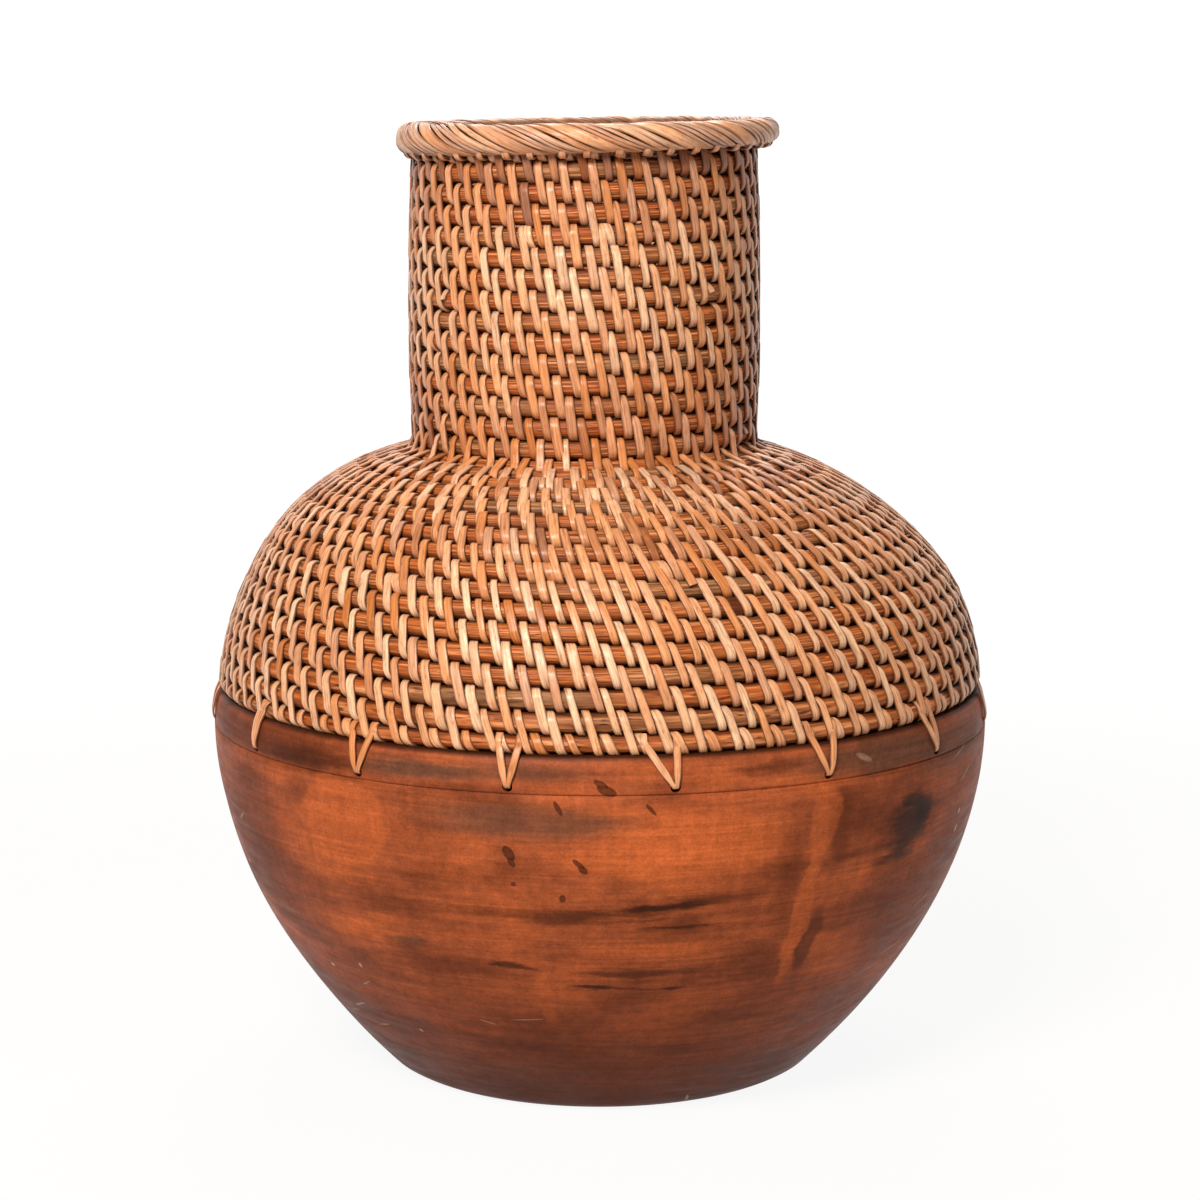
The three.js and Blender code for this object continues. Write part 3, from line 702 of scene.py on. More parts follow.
def clay_material(bowl):
    """Earthenware, burnished with a pebble and smoke-stained in an open fire.

    The eye gets a satin skin with faint level strokes, soft clouds of orange, brown and black with
    streaked edges, dried water drops, chips and fine scratches, darker clay towards the foot, and
    painted shade on the lip under the lowest course.
    """
    material, tree, shader = new_material("burnished_smoked_earthenware")
    place = add(tree, "ShaderNodeTexCoord").outputs["Object"]
    right, back, up = add(tree, "ShaderNodeSeparateXYZ", {0: place}).outputs
    front = add(tree, "ShaderNodeMath", {0: back, 1: -1.0}, operation="MULTIPLY").outputs[0]
    turn = add(tree, "ShaderNodeMath", {0: right, 1: front}, operation="ARCTAN2").outputs[0]
    sockets = {0: turn, 1: 180 / math.pi}
    degrees = add(tree, "ShaderNodeMath", sockets, operation="MULTIPLY").outputs[0]
    level = add(tree, "ShaderNodeMath", {0: up, 1: 1 / MM}, operation="MULTIPLY").outputs[0]
    chart = add(tree, "ShaderNodeCombineXYZ", {0: degrees, 1: level}).outputs[0]

    # Pebble strokes are about 1.5 mm high and 45 mm long, brush marks about 4 mm wide and 60 mm
    # high, clouds about 45 mm wide and 16 mm high, flecks about 4 mm and grit about 1 mm
    strokes = scaled_noise(tree, place, (0.045, 0.045, 0.0015), 5, 0.6)
    ragged = scaled_noise(tree, place, (0.02, 0.02, 0.0035), 7, 0.64)
    brush = scaled_noise(tree, place, (0.004, 0.004, 0.06), 2)
    clouds = scaled_noise(tree, place, (0.045, 0.045, 0.016), 8, 0.6)
    flecks = scaled_noise(tree, place, (0.004, 0.004, 0.004), 5, 0.7)
    grit = scaled_noise(tree, place, (0.001, 0.001, 0.001), 2)

    # Edges of level stains wander by up to about 5 degrees and 3 mm along the pebble strokes, and
    # edges of upright runs by 1 degree and 5 mm in slow bends
    wander = wandering(tree, chart, ragged, 13, 7)
    drift = wandering(tree, chart, clouds, 4, 16)
    stops = [(0.28, bowl.brown_clay), (0.5, bowl.clay), (0.75, bowl.bright_clay)]
    shade = add(tree, "ShaderNodeValToRGB", {0: clouds.outputs[0]}, stops).outputs[0]
    for middle, height, half_width, half_height, tilt, name, strength, inner in STAINS:
        oval = (middle, height, half_width * STAIN_SPREAD, half_height * STAIN_SPREAD, tilt)
        edges = drift if half_height > UPRIGHT * half_width else wander
        shade = stained(tree, edges, shade, oval, getattr(bowl, name), strength, inner)
    # Darker towards the foot
    shade = laid_over(tree, shade, bowl.foot_clay, level, FOOT_FADE, (FOOT_DARKENING, 0), "SMOOTHSTEP")
    # Painted shade on the lip under the lowest course, in the smoke colour
    shade = laid_over(tree, shade, bowl.smoke_and_shade, level, LIP_SHADE_RISE, (0, LIP_SHADE_STRENGTH), "SMOOTHSTEP")
    for oval in DROPS:
        shade = stained(tree, chart, shade, oval, bowl.smoke_and_shade, *TIDE_LINE)
    for middle, height, half_width, half_height, tilt in DROPS:
        halves = (half_width * MIDDLE_WIDTH, half_height * MIDDLE_HEIGHT)
        inside = (middle, height - MIDDLE_BELOW, *halves, tilt)
        shade = stained(tree, chart, shade, inside, bowl.brown_clay, *DROP_MIDDLE)
    for *oval, strength in CHIPS:
        shade = stained(tree, chart, shade, oval, bowl.scuff, strength, CHIP_FULL)
    shade = shaded(tree, shade, strokes, 0.78, 1.18)
    shade = shaded(tree, shade, flecks, 0.8, 1.14)
    shade = shaded(tree, shade, brush, 0.93, 1.06)
    shade = shaded(tree, shade, grit, 0.9, 1.08)
    dress(tree, shader, shade, (ragged, 0.38, 0.58), (strokes, 0.2, 0.2 * MM), 0.08)
    shader.inputs["IOR"].default_value = 1.5
    return material


def wandering(tree, chart, marks, across, height):
    """The chart with each place moved by marks, up to half of across and of height either way."""
    sockets = {0: chart, 1: (across / 2, height / 2, 0)}
    back = add(tree, "ShaderNodeVectorMath", sockets, operation="SUBTRACT").outputs[0]
    sockets = {0: marks.outputs["Color"], 1: (across, height, 0), 2: back}
    return add(tree, "ShaderNodeVectorMath", sockets, operation="MULTIPLY_ADD").outputs[0]


def stained(tree, chart, shade, oval, stain, strength, inner):
    """A shade with an oval stain on it, full within a share of the oval and fading to its edge."""
    away = oval_distance(tree, chart, *oval)
    return laid_over(tree, shade, stain, away, (1, inner), (0, strength), "SMOOTHSTEP")


def oval_distance(tree, chart, middle, height, half_width, half_height, tilt):
    """Distance from an oval's middle on the chart of angles and levels, 1 at the oval's edge."""
    turned = math.radians(tilt)
    along = (math.cos(turned) / half_width, math.sin(turned) / half_width, 0)
    across = (-math.sin(turned) / half_height, math.cos(turned) / half_height, 0)
    if tilt:
        sockets = {0: chart, 1: (middle, height, 0)}
        away = add(tree, "ShaderNodeVectorMath", sockets, operation="SUBTRACT").outputs[0]
        shares = [
            add(tree, "ShaderNodeVectorMath", {0: away, 1: axis}, operation="DOT_PRODUCT")
            for axis in (along, across)
        ]
        sockets = {place: share.outputs["Value"] for place, share in enumerate(shares)}
        local = add(tree, "ShaderNodeCombineXYZ", sockets).outputs[0]
    else:
        scale = (along[0], across[1], 0)
        sockets = {0: chart, 1: scale, 2: (-middle * scale[0], -height * scale[1], 0)}
        local = add(tree, "ShaderNodeVectorMath", sockets, operation="MULTIPLY_ADD").outputs[0]
    return add(tree, "ShaderNodeVectorMath", {0: local}, operation="LENGTH").outputs["Value"]


def cane_material(coil):
    """Round core cane, split from rattan, stained and worn.

    The eye gets long straight fibres with pale ridges and dark pores along the cane, redder and
    greyer stretches, dark knots, painted shade in the grooves between courses, and a soft sheen.
    """
    material, tree, shader = new_material("stained_core_cane")
    grain, tone, weathered, groove = grain_and_finish(tree)
    # Fibres are about 0.9 mm wide and 30 mm long, pores 0.5 mm wide and 9 mm long
    fibres = scaled_noise(tree, grain, (0.03, 0.0009, 1), 4)
    pores = scaled_noise(tree, grain, (0.009, 0.0005, 1), 2)
    stretches = scaled_noise(tree, grain, (0.05, 0.015, 1), 3)
    sockets = {0: tone, 6: coil.core_red, 7: coil.core}
    shade = add(tree, "ShaderNodeMix", sockets, data_type="RGBA").outputs[2]
    sockets = dict(zip(RANGE_INPUTS, (stretches.outputs[0], 0.45, 0.75, 0, 0.5)))
    uneven = add(tree, "ShaderNodeMapRange", sockets).outputs[0]
    grey = add(tree, "ShaderNodeMath", {0: uneven, 1: weathered}, operation="MAXIMUM").outputs[0]
    sockets = {0: grey, 6: shade, 7: coil.core_grey}
    shade = add(tree, "ShaderNodeMix", sockets, data_type="RGBA").outputs[2]
    shade = laid_over(tree, shade, coil.core_light, fibres.outputs[0], (0.5, 0.7), (0, 0.9))
    shade = laid_over(tree, shade, coil.dark_core_and_shade, fibres.outputs[0], (0.5, 0.28), (0, 0.85))
    shade = laid_over(tree, shade, coil.dark_core_and_shade, pores.outputs[0], (0.57, 0.68), (0, 0.85))
    # Painted shade in the grooves between courses, and dark knots
    sockets = {0: groove, 6: shade, 7: coil.dark_core_and_shade}
    shade = add(tree, "ShaderNodeMix", sockets, data_type="RGBA").outputs[2]
    dress(tree, shader, shade, (fibres, 0.6, 0.36), (fibres, 0.7, 0.4 * MM), 0.18)
    return material


def peel_material(stitch):
    """Flat cane peel, shaved from the skin of rattan and left smooth.

    The eye gets a hard smooth skin with a waxy gloss, fine grain along the strip, darker cut edges
    that partly paint the shade along a strip's sides, stain and painted shade at ends that dive
    between courses, painted shade on the rim's inner side, and strips that differ from pale straw to
    amber, brown and weathered grey.
    """
    material, tree, shader = new_material("cane_peel_strip")
    grain, tone, weathered, edge = grain_and_finish(tree)
    # Grain lines are about 0.6 mm wide and 14 mm long, mottles about 4 mm long, and brown bruises
    # about 1.3 mm wide and 7 mm long
    lines = scaled_noise(tree, grain, (0.014, 0.0006, 1), 3)
    mottles = scaled_noise(tree, grain, (0.004, 0.0022, 1), 3)
    bruises = scaled_noise(tree, grain, (0.007, 0.0013, 1), 5, 0.65)
    shades = (stitch.brown_peel, stitch.amber_peel, stitch.peel, stitch.pale_peel)
    stops = list(zip((0.0, 0.3, 0.6, 1.0), shades))
    shade = add(tree, "ShaderNodeValToRGB", {0: tone}, stops).outputs[0]
    sockets = {0: weathered, 6: shade, 7: stitch.grey_peel}
    shade = add(tree, "ShaderNodeMix", sockets, data_type="RGBA").outputs[2]
    shade = laid_over(tree, shade, stitch.amber_peel, mottles.outputs[0], (0.5, 0.76), (0, 0.6))
    shade = laid_over(tree, shade, stitch.brown_peel, bruises.outputs[0], (0.56, 0.72), (0, 0.75))
    shade = shaded(tree, shade, lines, 0.6, 1.24)
    # Darker cut edges, partly painted shade, stained and shaded ends, and painted shade inside the
    # rim
    stain = add(tree, "ShaderNodeMath", {0: edge, 1: 0.85}, operation="MULTIPLY").outputs[0]
    sockets = {0: stain, 6: shade, 7: stitch.dark_peel_and_shade}
    shade = add(tree, "ShaderNodeMix", sockets, data_type="RGBA").outputs[2]
    dress(tree, shader, shade, (mottles, 0.27, 0.46), (lines, 0.35, 0.2 * MM), 0.38)
    return material


def material_of(name, make, settings):
    """A material made once and shared by its pieces."""
    return bpy.data.materials.get(name) or make(settings)


def wall_radius(bowl, level):
    """Outer radius of the clay wall from the foot up to the belly."""
    above = 1 - level / bowl.belly_height
    return bowl.foot_radius + (bowl.belly_radius - bowl.foot_radius) * (1 - above**bowl.fullness)


def wall_breadth(bowl, level):
    """Level distance between the wall's faces, wider where the wall slopes."""
    above = 1 - level / bowl.belly_height
    swell = bowl.belly_radius - bowl.foot_radius
    flare = swell * bowl.fullness / bowl.belly_height * above ** (bowl.fullness - 1)
    return bowl.wall * np.hypot(1, flare)


def lip_radius(bowl, level):
    """Outer radius of the lip, which turns in above the belly."""
    rise = np.clip((level - bowl.belly_height) / bowl.lip_rise, 0, 1)
    return bowl.belly_radius - bowl.lip_turn_in * (1 - np.sqrt(1 - rise**2))


# Points along the foot's edge, the wall, the scored line, the lip, its rounding and the inside
EDGE_POINTS, WALL_POINTS, SCORE_POINTS = 6, 61, 7
LIP_POINTS, ROUNDING_POINTS, INSIDE_POINTS = 19, 5, 40

# Share of the foot's edge that lies past its corner, and radius of the rounding inside the lip
PAST_CORNER = 0.1
LIP_ROUNDING = MM


def bowl_section(bowl):
    """Half section of the bowl from the foot's centre, up the outside and down the inside."""
    score = bowl.belly_height - bowl.score_drop
    half = bowl.score_width / 2
    lip_top = bowl.belly_height + bowl.lip_rise
    section = [(0, 0), (bowl.foot_radius / 2, 0)]
    edge_start = np.array([bowl.foot_radius - bowl.foot_edge, 0])
    edge_corner = np.array([bowl.foot_radius - bowl.foot_edge * PAST_CORNER, 0])
    edge_end = np.array([wall_radius(bowl, bowl.foot_edge), bowl.foot_edge])
    for share in np.linspace(0, 1, EDGE_POINTS):
        along = edge_start + (edge_corner - edge_start) * share
        ahead = edge_corner + (edge_end - edge_corner) * share
        section.append(along + (ahead - edge_corner) * share)
    for level in np.linspace(bowl.foot_edge, score - half, WALL_POINTS)[1:]:
        section.append((wall_radius(bowl, level), level))
    for share in np.linspace(-1, 1, SCORE_POINTS)[1:-1]:
        level = score + half * share
        hollow = bowl.score_depth * (1 + math.cos(math.pi * share)) / 2
        section.append((wall_radius(bowl, min(level, bowl.belly_height)) - hollow, level))
    section.append((wall_radius(bowl, score + half), score + half))
    for share in np.linspace(0, 1, LIP_POINTS):
        level = bowl.belly_height + bowl.lip_rise * math.sin(math.pi / 2 * share)
        section.append((lip_radius(bowl, level), level))
    inner = bowl.belly_radius - bowl.lip_turn_in - bowl.lip_width
    for share in np.linspace(0, 1, ROUNDING_POINTS):
        sweep = math.pi / 2 * share
        radius = inner + LIP_ROUNDING - LIP_ROUNDING * math.sin(sweep)
        section.append((radius, lip_top - LIP_ROUNDING + LIP_ROUNDING * math.cos(sweep)))
    section.append((inner, lip_top - bowl.lip_depth))
    for level in np.linspace(bowl.belly_height, bowl.floor, INSIDE_POINTS):
        section.append((wall_radius(bowl, level) - wall_breadth(bowl, level), level))
    section += [(section[-1][0] / 2, bowl.floor), (0, bowl.floor)]
    return np.array(section)


def turned_mesh(name, section, segments):
    """A closed mesh of a half section turned round the upright axis, its ends on the axis."""
    turn = np.arange(segments) * FULL_TURN / segments
    rings = [around(radius, level, turn) for radius, level in section[1:-1]]
    points = np.concatenate([[(0, 0, section[0][1])], *rings, [(0, 0, section[-1][1])]])
    faces = []
    top = len(points) - 1
    for side in range(segments):
        ahead = (side + 1) % segments
        faces.append((0, 1 + ahead, 1 + side))
        for ring in range(len(rings) - 1):
            low, high = 1 + ring * segments, 1 + (ring + 1) * segments
            faces.append((low + side, low + ahead, high + ahead, high + side))
        last = 1 + (len(rings) - 1) * segments
        faces.append((last + side, last + ahead, top))
    mesh = bpy.data.meshes.new(name)
    mesh.from_pydata(points, [], faces)
    return mesh


# Waves of hand work in the wall: strength, waves round the bowl, phase, and twist in a metre
WALL_WAVES = ((1, 2, 1, 0), (0.6, 5, 2, 40), (0.4, 9, 0, -70))

# Height over which the waves set in and fade, their distance below the belly, and the least radius
# that they are reckoned from
WAVE_FADE, WAVE_MARGIN, LEAST_RADIUS = 0.03, 0.006, 0.01


def hand_worked(bowl, mesh):
    """Moves the outer wall below the scored line in and out a little, as hand work leaves it."""
    points = np.zeros(len(mesh.vertices) * 3)
    mesh.vertices.foreach_get("co", points)
    points = points.reshape(-1, 3)
    turn, level = np.arctan2(points[:, 0], -points[:, 1]), points[:, 2]
    radius = np.hypot(points[:, 0], points[:, 1])
    below = bowl.belly_height - WAVE_MARGIN - level
    share = smooth(level / WAVE_FADE) * smooth(below / WAVE_FADE)
    waves = sum(
        strength * np.sin(beats * turn + phase + level * twist)
        for strength, beats, phase, twist in WALL_WAVES
    )
    swell = 1 + share * waves * bowl.unevenness / np.maximum(radius, LEAST_RADIUS)
    points[:, :2] *= swell[:, None]
    mesh.vertices.foreach_set("co", points.ravel())


def tie_angle(stitch, tie):
    return stitch.first_tie + FULL_TURN * tie / stitch.ties


DRILL_SIDES = 20


def drills(bowl, stitch):
    """One object of round bars, one through the wall at each lashing."""
    tubes = TubeMesh()
    sweep = np.linspace(0, FULL_TURN, DRILL_SIDES, endpoint=False)
    level = bowl.belly_height + stitch.tie_rise
    for tie in range(stitch.ties):
        turn = tie_angle(stitch, tie)
        outward = np.array([math.sin(turn), -math.cos(turn), 0])
        sideways = np.array([math.cos(turn), math.sin(turn), 0])
        hole = stitch.tie_hole / 2 * (
            np.cos(sweep)[:, None] * sideways + np.sin(sweep)[:, None] * np.array([0, 0, 1])
        )
        reach = np.array([bowl.belly_radius - 2 * bowl.wall, bowl.belly_radius + bowl.wall])
        axis = outward * reach[:, None] + [0, 0, level]
        tubes.add(axis[:, None] + hole[None])
    return tubes


def cut_away(piece, cutter):
    """Cuts one object out of another for good and removes the cutter."""
    cut = piece.modifiers.new("drilled", "BOOLEAN")
    cut.operation, cut.solver, cut.object = "DIFFERENCE", "EXACT", cutter
    bpy.context.view_layer.update()
    depsgraph = bpy.context.evaluated_depsgraph_get()
    drilled = bpy.data.meshes.new_from_object(piece.evaluated_get(depsgraph))
    piece.modifiers.remove(cut)
    whole = piece.data
    piece.data = drilled
    bpy.data.meshes.remove(whole)
    bpy.data.objects.remove(cutter)
    drilled.shade_smooth()
    drilled.set_sharp_from_angle(angle=math.radians(SHARP_CLAY))


class VASE_OT_bowl(bpy.types.Operator):
    """Turn the clay bowl, score its line and drill the holes for the lashings"""

    bl_idname = "vase.bowl"
    bl_label = "Clay Bowl"

    def execute(self, context):
        bowl, stitch = context.scene.vase_bowl, context.scene.vase_stitch
        mesh = turned_mesh("bowl", bowl_section(bowl), BOWL_SEGMENTS)
        hand_worked(bowl, mesh)
        clay = material_of("burnished_smoked_earthenware", clay_material, bowl)
        piece = finish_piece("bowl", mesh, clay, SHARP_CLAY)
        cut_away(piece, drills(bowl, stitch).build("bowl_drill", clay, SHARP_CLAY))
        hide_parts("clay_bowl")
        return {"FINISHED"}


# Painted shade in the grooves between courses: its strength, and where it starts and how soon it
# is full, both by how far the skin faces up or down
GROOVE_SHADE, GROOVE_START, GROOVE_SPAN = 0.85, 0.5, 0.42

# Swells along a cane, as a share of its radius, with their waves in a radian of turns and phase
CANE_SWELLS = ((0.012, 47, 0), (0.01, 113, 1))

# How much a knot stands out, as a share of the radius, and its stain
KNOT_RISE, KNOT_STAIN = 0.09, 0.8

# Least and most tone of a neck cane and a shoulder cane, and how much the tone wavers along it
NECK_TONE, SHOULDER_TONE, TONE_WAVER = (0.2, 0.5), (0.6, 0.9), 0.3
WAVER_BEATS = (5.3, 13.7)

# Grey spots and knots in a turn, half length of a spot in turns, its strength, and steps in a knot
SPOTS, KNOTS = 5, 1.2
SPOT_HALF, SPOT_STRENGTH, KNOT_STEPS = (0.02, 0.08), (0.3, 1), 1.2

# How many half lengths from its middle a spot and a knot have faded out
SPOT_END, KNOT_END = 1.5, 1.4


class VASE_OT_canes(bpy.types.Operator):
    """Wind the lengths of round cane that make the shoulder and the neck"""

    bl_idname = "vase.canes"
    bl_label = "Coiled Canes"

    def execute(self, context):
        coil = context.scene.vase_coil
        line = CoilLine(context.scene)
        cane = material_of("stained_core_cane", cane_material, coil)
        draw = random.Random(CANE_SEED)
        tilt = -FULL_TURN * np.arange(CANE_SIDES) / CANE_SIDES
        # Painted shade in the grooves, by how far the skin faces up or down
        groove = GROOVE_SHADE * smooth((np.abs(np.sin(tilt)) - GROOVE_START) / GROOVE_SPAN)
        for name, start, end in line.lengths:
            turns = np.append(np.arange(start, end, 1 / LOOP_STEPS), end)
            swell = sum(size * np.sin(turns * beat + phase) for size, beat, phase in CANE_SWELLS)
            tone, grey, knot = self.finish(turns, name.startswith("neck"), draw)
            lift = (swell + KNOT_RISE * knot) * line.radius
            shape = np.broadcast_to(tilt, (len(turns), CANE_SIDES))
            radius, level, _ = line.over(turns[:, None], shape, lift[:, None])
            rings = line.lean(around(radius, level, line.angle(turns)[:, None]))
            tubes = TubeMesh()
            tubes.add(
                rings,
                tone=tone[:, None],
                weathered=grey[:, None],
                edge=np.maximum(groove, KNOT_STAIN * knot[:, None]),
                offset=start,
            )
            piece = tubes.build("coil_" + name, cane, SHARP_CANE)
            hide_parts(name)
        return {"FINISHED"}

    def finish(self, turns, on_neck, draw):
        """Stain, weathering and knots along one length of cane."""
        tone = draw.uniform(*(NECK_TONE if on_neck else SHOULDER_TONE))
        slow, quick = WAVER_BEATS
        waver = np.sin(turns * slow + draw.uniform(*PHASES)) * np.sin(turns * quick)
        grey, knot = np.zeros(len(turns)), np.zeros(len(turns))
        first, last = turns[0], turns[-1]
        for _ in range(int(SPOTS * (last - first))):
            middle, half = draw.uniform(first, last), draw.uniform(*SPOT_HALF)
            spot = smooth(SPOT_END - np.abs(turns - middle) / half)
            grey = np.maximum(grey, draw.uniform(*SPOT_STRENGTH) * spot)
        for _ in range(int(KNOTS * (last - first))):
            away = np.abs(turns - draw.uniform(first, last)) * LOOP_STEPS
            knot = np.maximum(knot, smooth(KNOT_END - away / KNOT_STEPS))
        return np.clip(tone + TONE_WAVER * waver, 0, 1), grey, knot


# Tilts at which a stitch bends over the upper half of a cane, and all round its outer side
UPPER_TILTS = np.radians([82, 66, 50, 34, 18, 4])
ROUND_TILTS = np.radians([82, 62, 42, 21, 0, -21, -42, -62, -82])

# Share of stitches that are broken off, share that have a second strip, how far round it lies, and
# how much of the way each stitch is drawn to the middle between two stitches of the course below
BROKEN_SHARE = 0.006
DOUBLED_SHARE = 0.012
DOUBLED_ASIDE = 0.004
BETWEEN_SHARE = 0.5

# First stitch after the coil's start, last one past its end, and how far up the neck a stitch slants
# as it does on the shoulder, in turns
FIRST_STITCH, LAST_STITCH, SHOULDER_SLANT_END = 0.3, 0.95, 0.5

# Tones and greys that a length of peel may have
RUN_TONES = (0.4, 0.5, 0.6, 0.65, 0.75, 0.85)
RUN_GREYS = (0, 0, 0, 0.1, 0.25, 0.6)

# Tone and grey of stitches under the rim and on the top course, and how much darker the inside is
UNDER_RIM, TOP_COURSE, INSIDE_DARKER = (0.6, 0.45), (0.08, 0.15), 0.2

# Spread of a stitch's slant, lift and place in millimetres, and of its width, tone and grey
SLANT_SPREAD, LIFT_SPREAD, PLACE_SPREAD = 0.45, 0.15, 0.35
WIDTH_SPREAD, TONE_SPREAD, GREY_SPREAD = 0.09, 0.14, 0.13

# Slant of a stitch that crosses one course only, greatest width as a share of the spacing, how much
# a stitch narrows to its ends, and the stain and painted shade of its ends, where they dive between
# courses
SHORT_SLANT, MOST_WIDTH, NARROWING, END_STAIN_AND_SHADE = 0.75, 0.44, 0.14, 0.85

# Where the stain and painted shade of a stitch's end set in, the most grey that it has, and how fast
# its slant grows from the crown to the lip
END_START, MOST_GREY, SLANT_CURVE = 0.82, 0.85, 1.8

# Points that a broken stitch keeps, and how far its loose end stands off in millimetres
BROKEN_KEEPS, LOOSE_END = (5, 9), (0.3, 0.9)

# Longest place along the grain at which a strip may start, so that no two strips look alike
GRAIN_START = 9


def stitch_run(line, turn, slant, kind, lift):
    """Centre line and outward directions of one stitch, from its top end to its lower end."""
    if kind == "long":
        tilts = np.concatenate([UPPER_TILTS, -UPPER_TILTS[::-1]])
        drop = np.repeat([0.0, 1.0], len(UPPER_TILTS))
    else:
        tilts = math.pi - ROUND_TILTS if kind == "inside" else ROUND_TILTS
        drop = np.full(len(tilts), 1.0 if kind == "under_rim" else 0.0)
    arc = np.concatenate([[0], np.cumsum(np.hypot(*flat_steps(line, turn, tilts, drop, lift)))])
    share = arc / arc[-1]
    swing = slant / line.radius_at(turn) / FULL_TURN
    turns = turn + swing * share - drop
    radius, level, facing = line.over(turns, tilts, lift)
    around_axis = line.angle(turn + swing * share)
    points = around(radius, level, around_axis)
    outward = around(facing[:, 0], facing[:, 1], around_axis)
    return line.lean(points), outward, share


def flat_steps(line, turn, tilts, drop, lift):
    radius, level, _ = line.over(turn - drop, tilts, lift)
    return np.diff(radius), np.diff(level)


def stitch_spacing(line, stitch, turn):
    """Distance between stitches of a course: even on the lower shoulder and on the neck."""
    girth = FULL_TURN * line.radius_at(turn)
    if turn > line.neck - 1:
        return girth / stitch.neck_stitches, girth
    return max(girth / stitch.shoulder_stitches, stitch.least_spacing), girth


def stitch_turns(line, stitch):
    """Turns at which stitches start, each drawn between two stitches of the course below."""
    turns = []
    turn = line.first + FIRST_STITCH
    while turn < line.last + LAST_STITCH:
        after = bisect.bisect(turns, turn - 1)
        if 0 < after < len(turns):
            turn += BETWEEN_SHARE * ((turns[after - 1] + turns[after]) / 2 + 1 - turn)
        turns.append(turn)
        spacing, girth = stitch_spacing(line, stitch, turn)
        turn += spacing / girth
    return turns


def slant_at(line, stitch, turn):
    """Sideways run of a stitch, steepest at the crown of the shoulder."""
    if turn > line.neck + SHOULDER_SLANT_END:
        return stitch.neck_slant
    top, low = line.radius_at(line.neck), line.radius_at(line.first)
    share = (line.radius_at(turn) - top) / (low - top)
    return stitch.crown_slant + (stitch.lip_slant - stitch.crown_slant) * share**SLANT_CURVE


class VASE_OT_stitching(bpy.types.Operator):
    """Sew each course of the coil to the course below with strips of cane peel"""

    bl_idname = "vase.stitching"
    bl_label = "Stitching"

    def execute(self, context):
        stitch = context.scene.vase_stitch
        line = CoilLine(context.scene)
        peel = material_of("cane_peel_strip", peel_material, stitch)
        draw = random.Random(STITCH_SEED)
        groups = {name: TubeMesh() for name, _, _ in line.lengths}
        for number_on, turn in enumerate(stitch_turns(line, stitch)):
            if number_on % stitch.peel_run == 0:
                run_tone, run_grey = draw.choice(RUN_TONES), draw.choice(RUN_GREYS)
            owner = [name for name, begin, _ in line.lengths if turn >= begin][-1]
            tubes = groups[owner]
            kind, tone, grey = "long", run_tone, run_grey
            if turn - 1 < line.first:
                kind = "lowest"
            elif turn > line.last:
                kind, (tone, grey) = "under_rim", UNDER_RIM
            elif turn > line.last - 1:
                tone, grey = TOP_COURSE
            self.sew(tubes, line, stitch, turn, kind, tone, grey, draw)
            chance = draw.random()
            if kind == "long" and chance < DOUBLED_SHARE:
                self.sew(tubes, line, stitch, turn + DOUBLED_ASIDE, "lowest", tone, grey, draw)
            if line.neck < turn < line.last:
                self.sew(tubes, line, stitch, turn, "inside", tone - INSIDE_DARKER, grey, draw)
        for name, tubes in groups.items():
            piece = tubes.build("stitches_" + name, peel, SHARP_PEEL)
        return {"FINISHED"}

    def sew(self, tubes, line, stitch, turn, kind, tone, grey, draw):
        """One strip laid over the coil, a few of them broken off with a loose end."""
        slant = slant_at(line, stitch, turn) + draw.gauss(0, SLANT_SPREAD) * MM
        slant *= {"long": 1, "inside": -1}.get(kind, SHORT_SLANT)
        lift = stitch.thickness / 2 + abs(draw.gauss(0, LIFT_SPREAD)) * MM
        spacing, girth = stitch_spacing(line, stitch, turn)
        place = turn + draw.gauss(0, PLACE_SPREAD) * MM / girth
        points, outward, share = stitch_run(line, place, slant, kind, lift)
        width = min(stitch.width, MOST_WIDTH * spacing) * (1 + draw.gauss(0, WIDTH_SPREAD))
        to_end = np.abs(2 * share - 1)
        widths = width * (1 - NARROWING * to_end**3)
        # Stain and painted shade at the ends, where the strip dives between courses
        ends = END_STAIN_AND_SHADE * smooth((to_end - END_START) / (1 - END_START))
        if kind == "long" and draw.random() < BROKEN_SHARE:
            keep = draw.randint(*BROKEN_KEEPS)
            points, outward = points[:keep], outward[:keep]
            widths, ends = widths[:keep], ends[:keep]
            loose = smooth(np.linspace(-1, 1, keep)) * draw.uniform(*LOOSE_END) * MM
            points = points + outward * loose[:, None]
        tubes.add(
            strip_tube(points, outward, widths, stitch.thickness),
            tone=min(max(tone + draw.gauss(0, TONE_SPREAD), 0), 1),
            weathered=min(max(grey + draw.gauss(0, GREY_SPREAD), 0), MOST_GREY),
            edge=np.maximum(STRIP_EDGE, ends[:, None]),
            offset=draw.uniform(0, GRAIN_START),
        )


def curved_through(points, steps):
    """Points on a smooth curve through given points."""
    points = np.asarray(points, float)
    padded = np.concatenate([[2 * points[0] - points[1]], points, [2 * points[-1] - points[-2]]])
    found = []
    for place in range(len(points) - 1):
        a, b, c, d = padded[place : place + 4]
        for share in np.arange(steps) / steps:
            bend = (2 * a - 5 * b + 4 * c - d) * share**2
            twist = (3 * b - a - 3 * c + d) * share**3
            found.append((2 * b + (c - a) * share + bend + twist) / 2)
    return np.array(found + [points[-1]])


def held_turn(line, axis_angle):
    """Turn of the lowest course that is thick enough to be held, at an angle from the front."""
    turn = (axis_angle - line.start) / FULL_TURN % 1
    low, high = line.reach(np.array([turn]))
    return turn + 1 if high[0] - low[0] < THINNEST_HELD_COURSE else turn


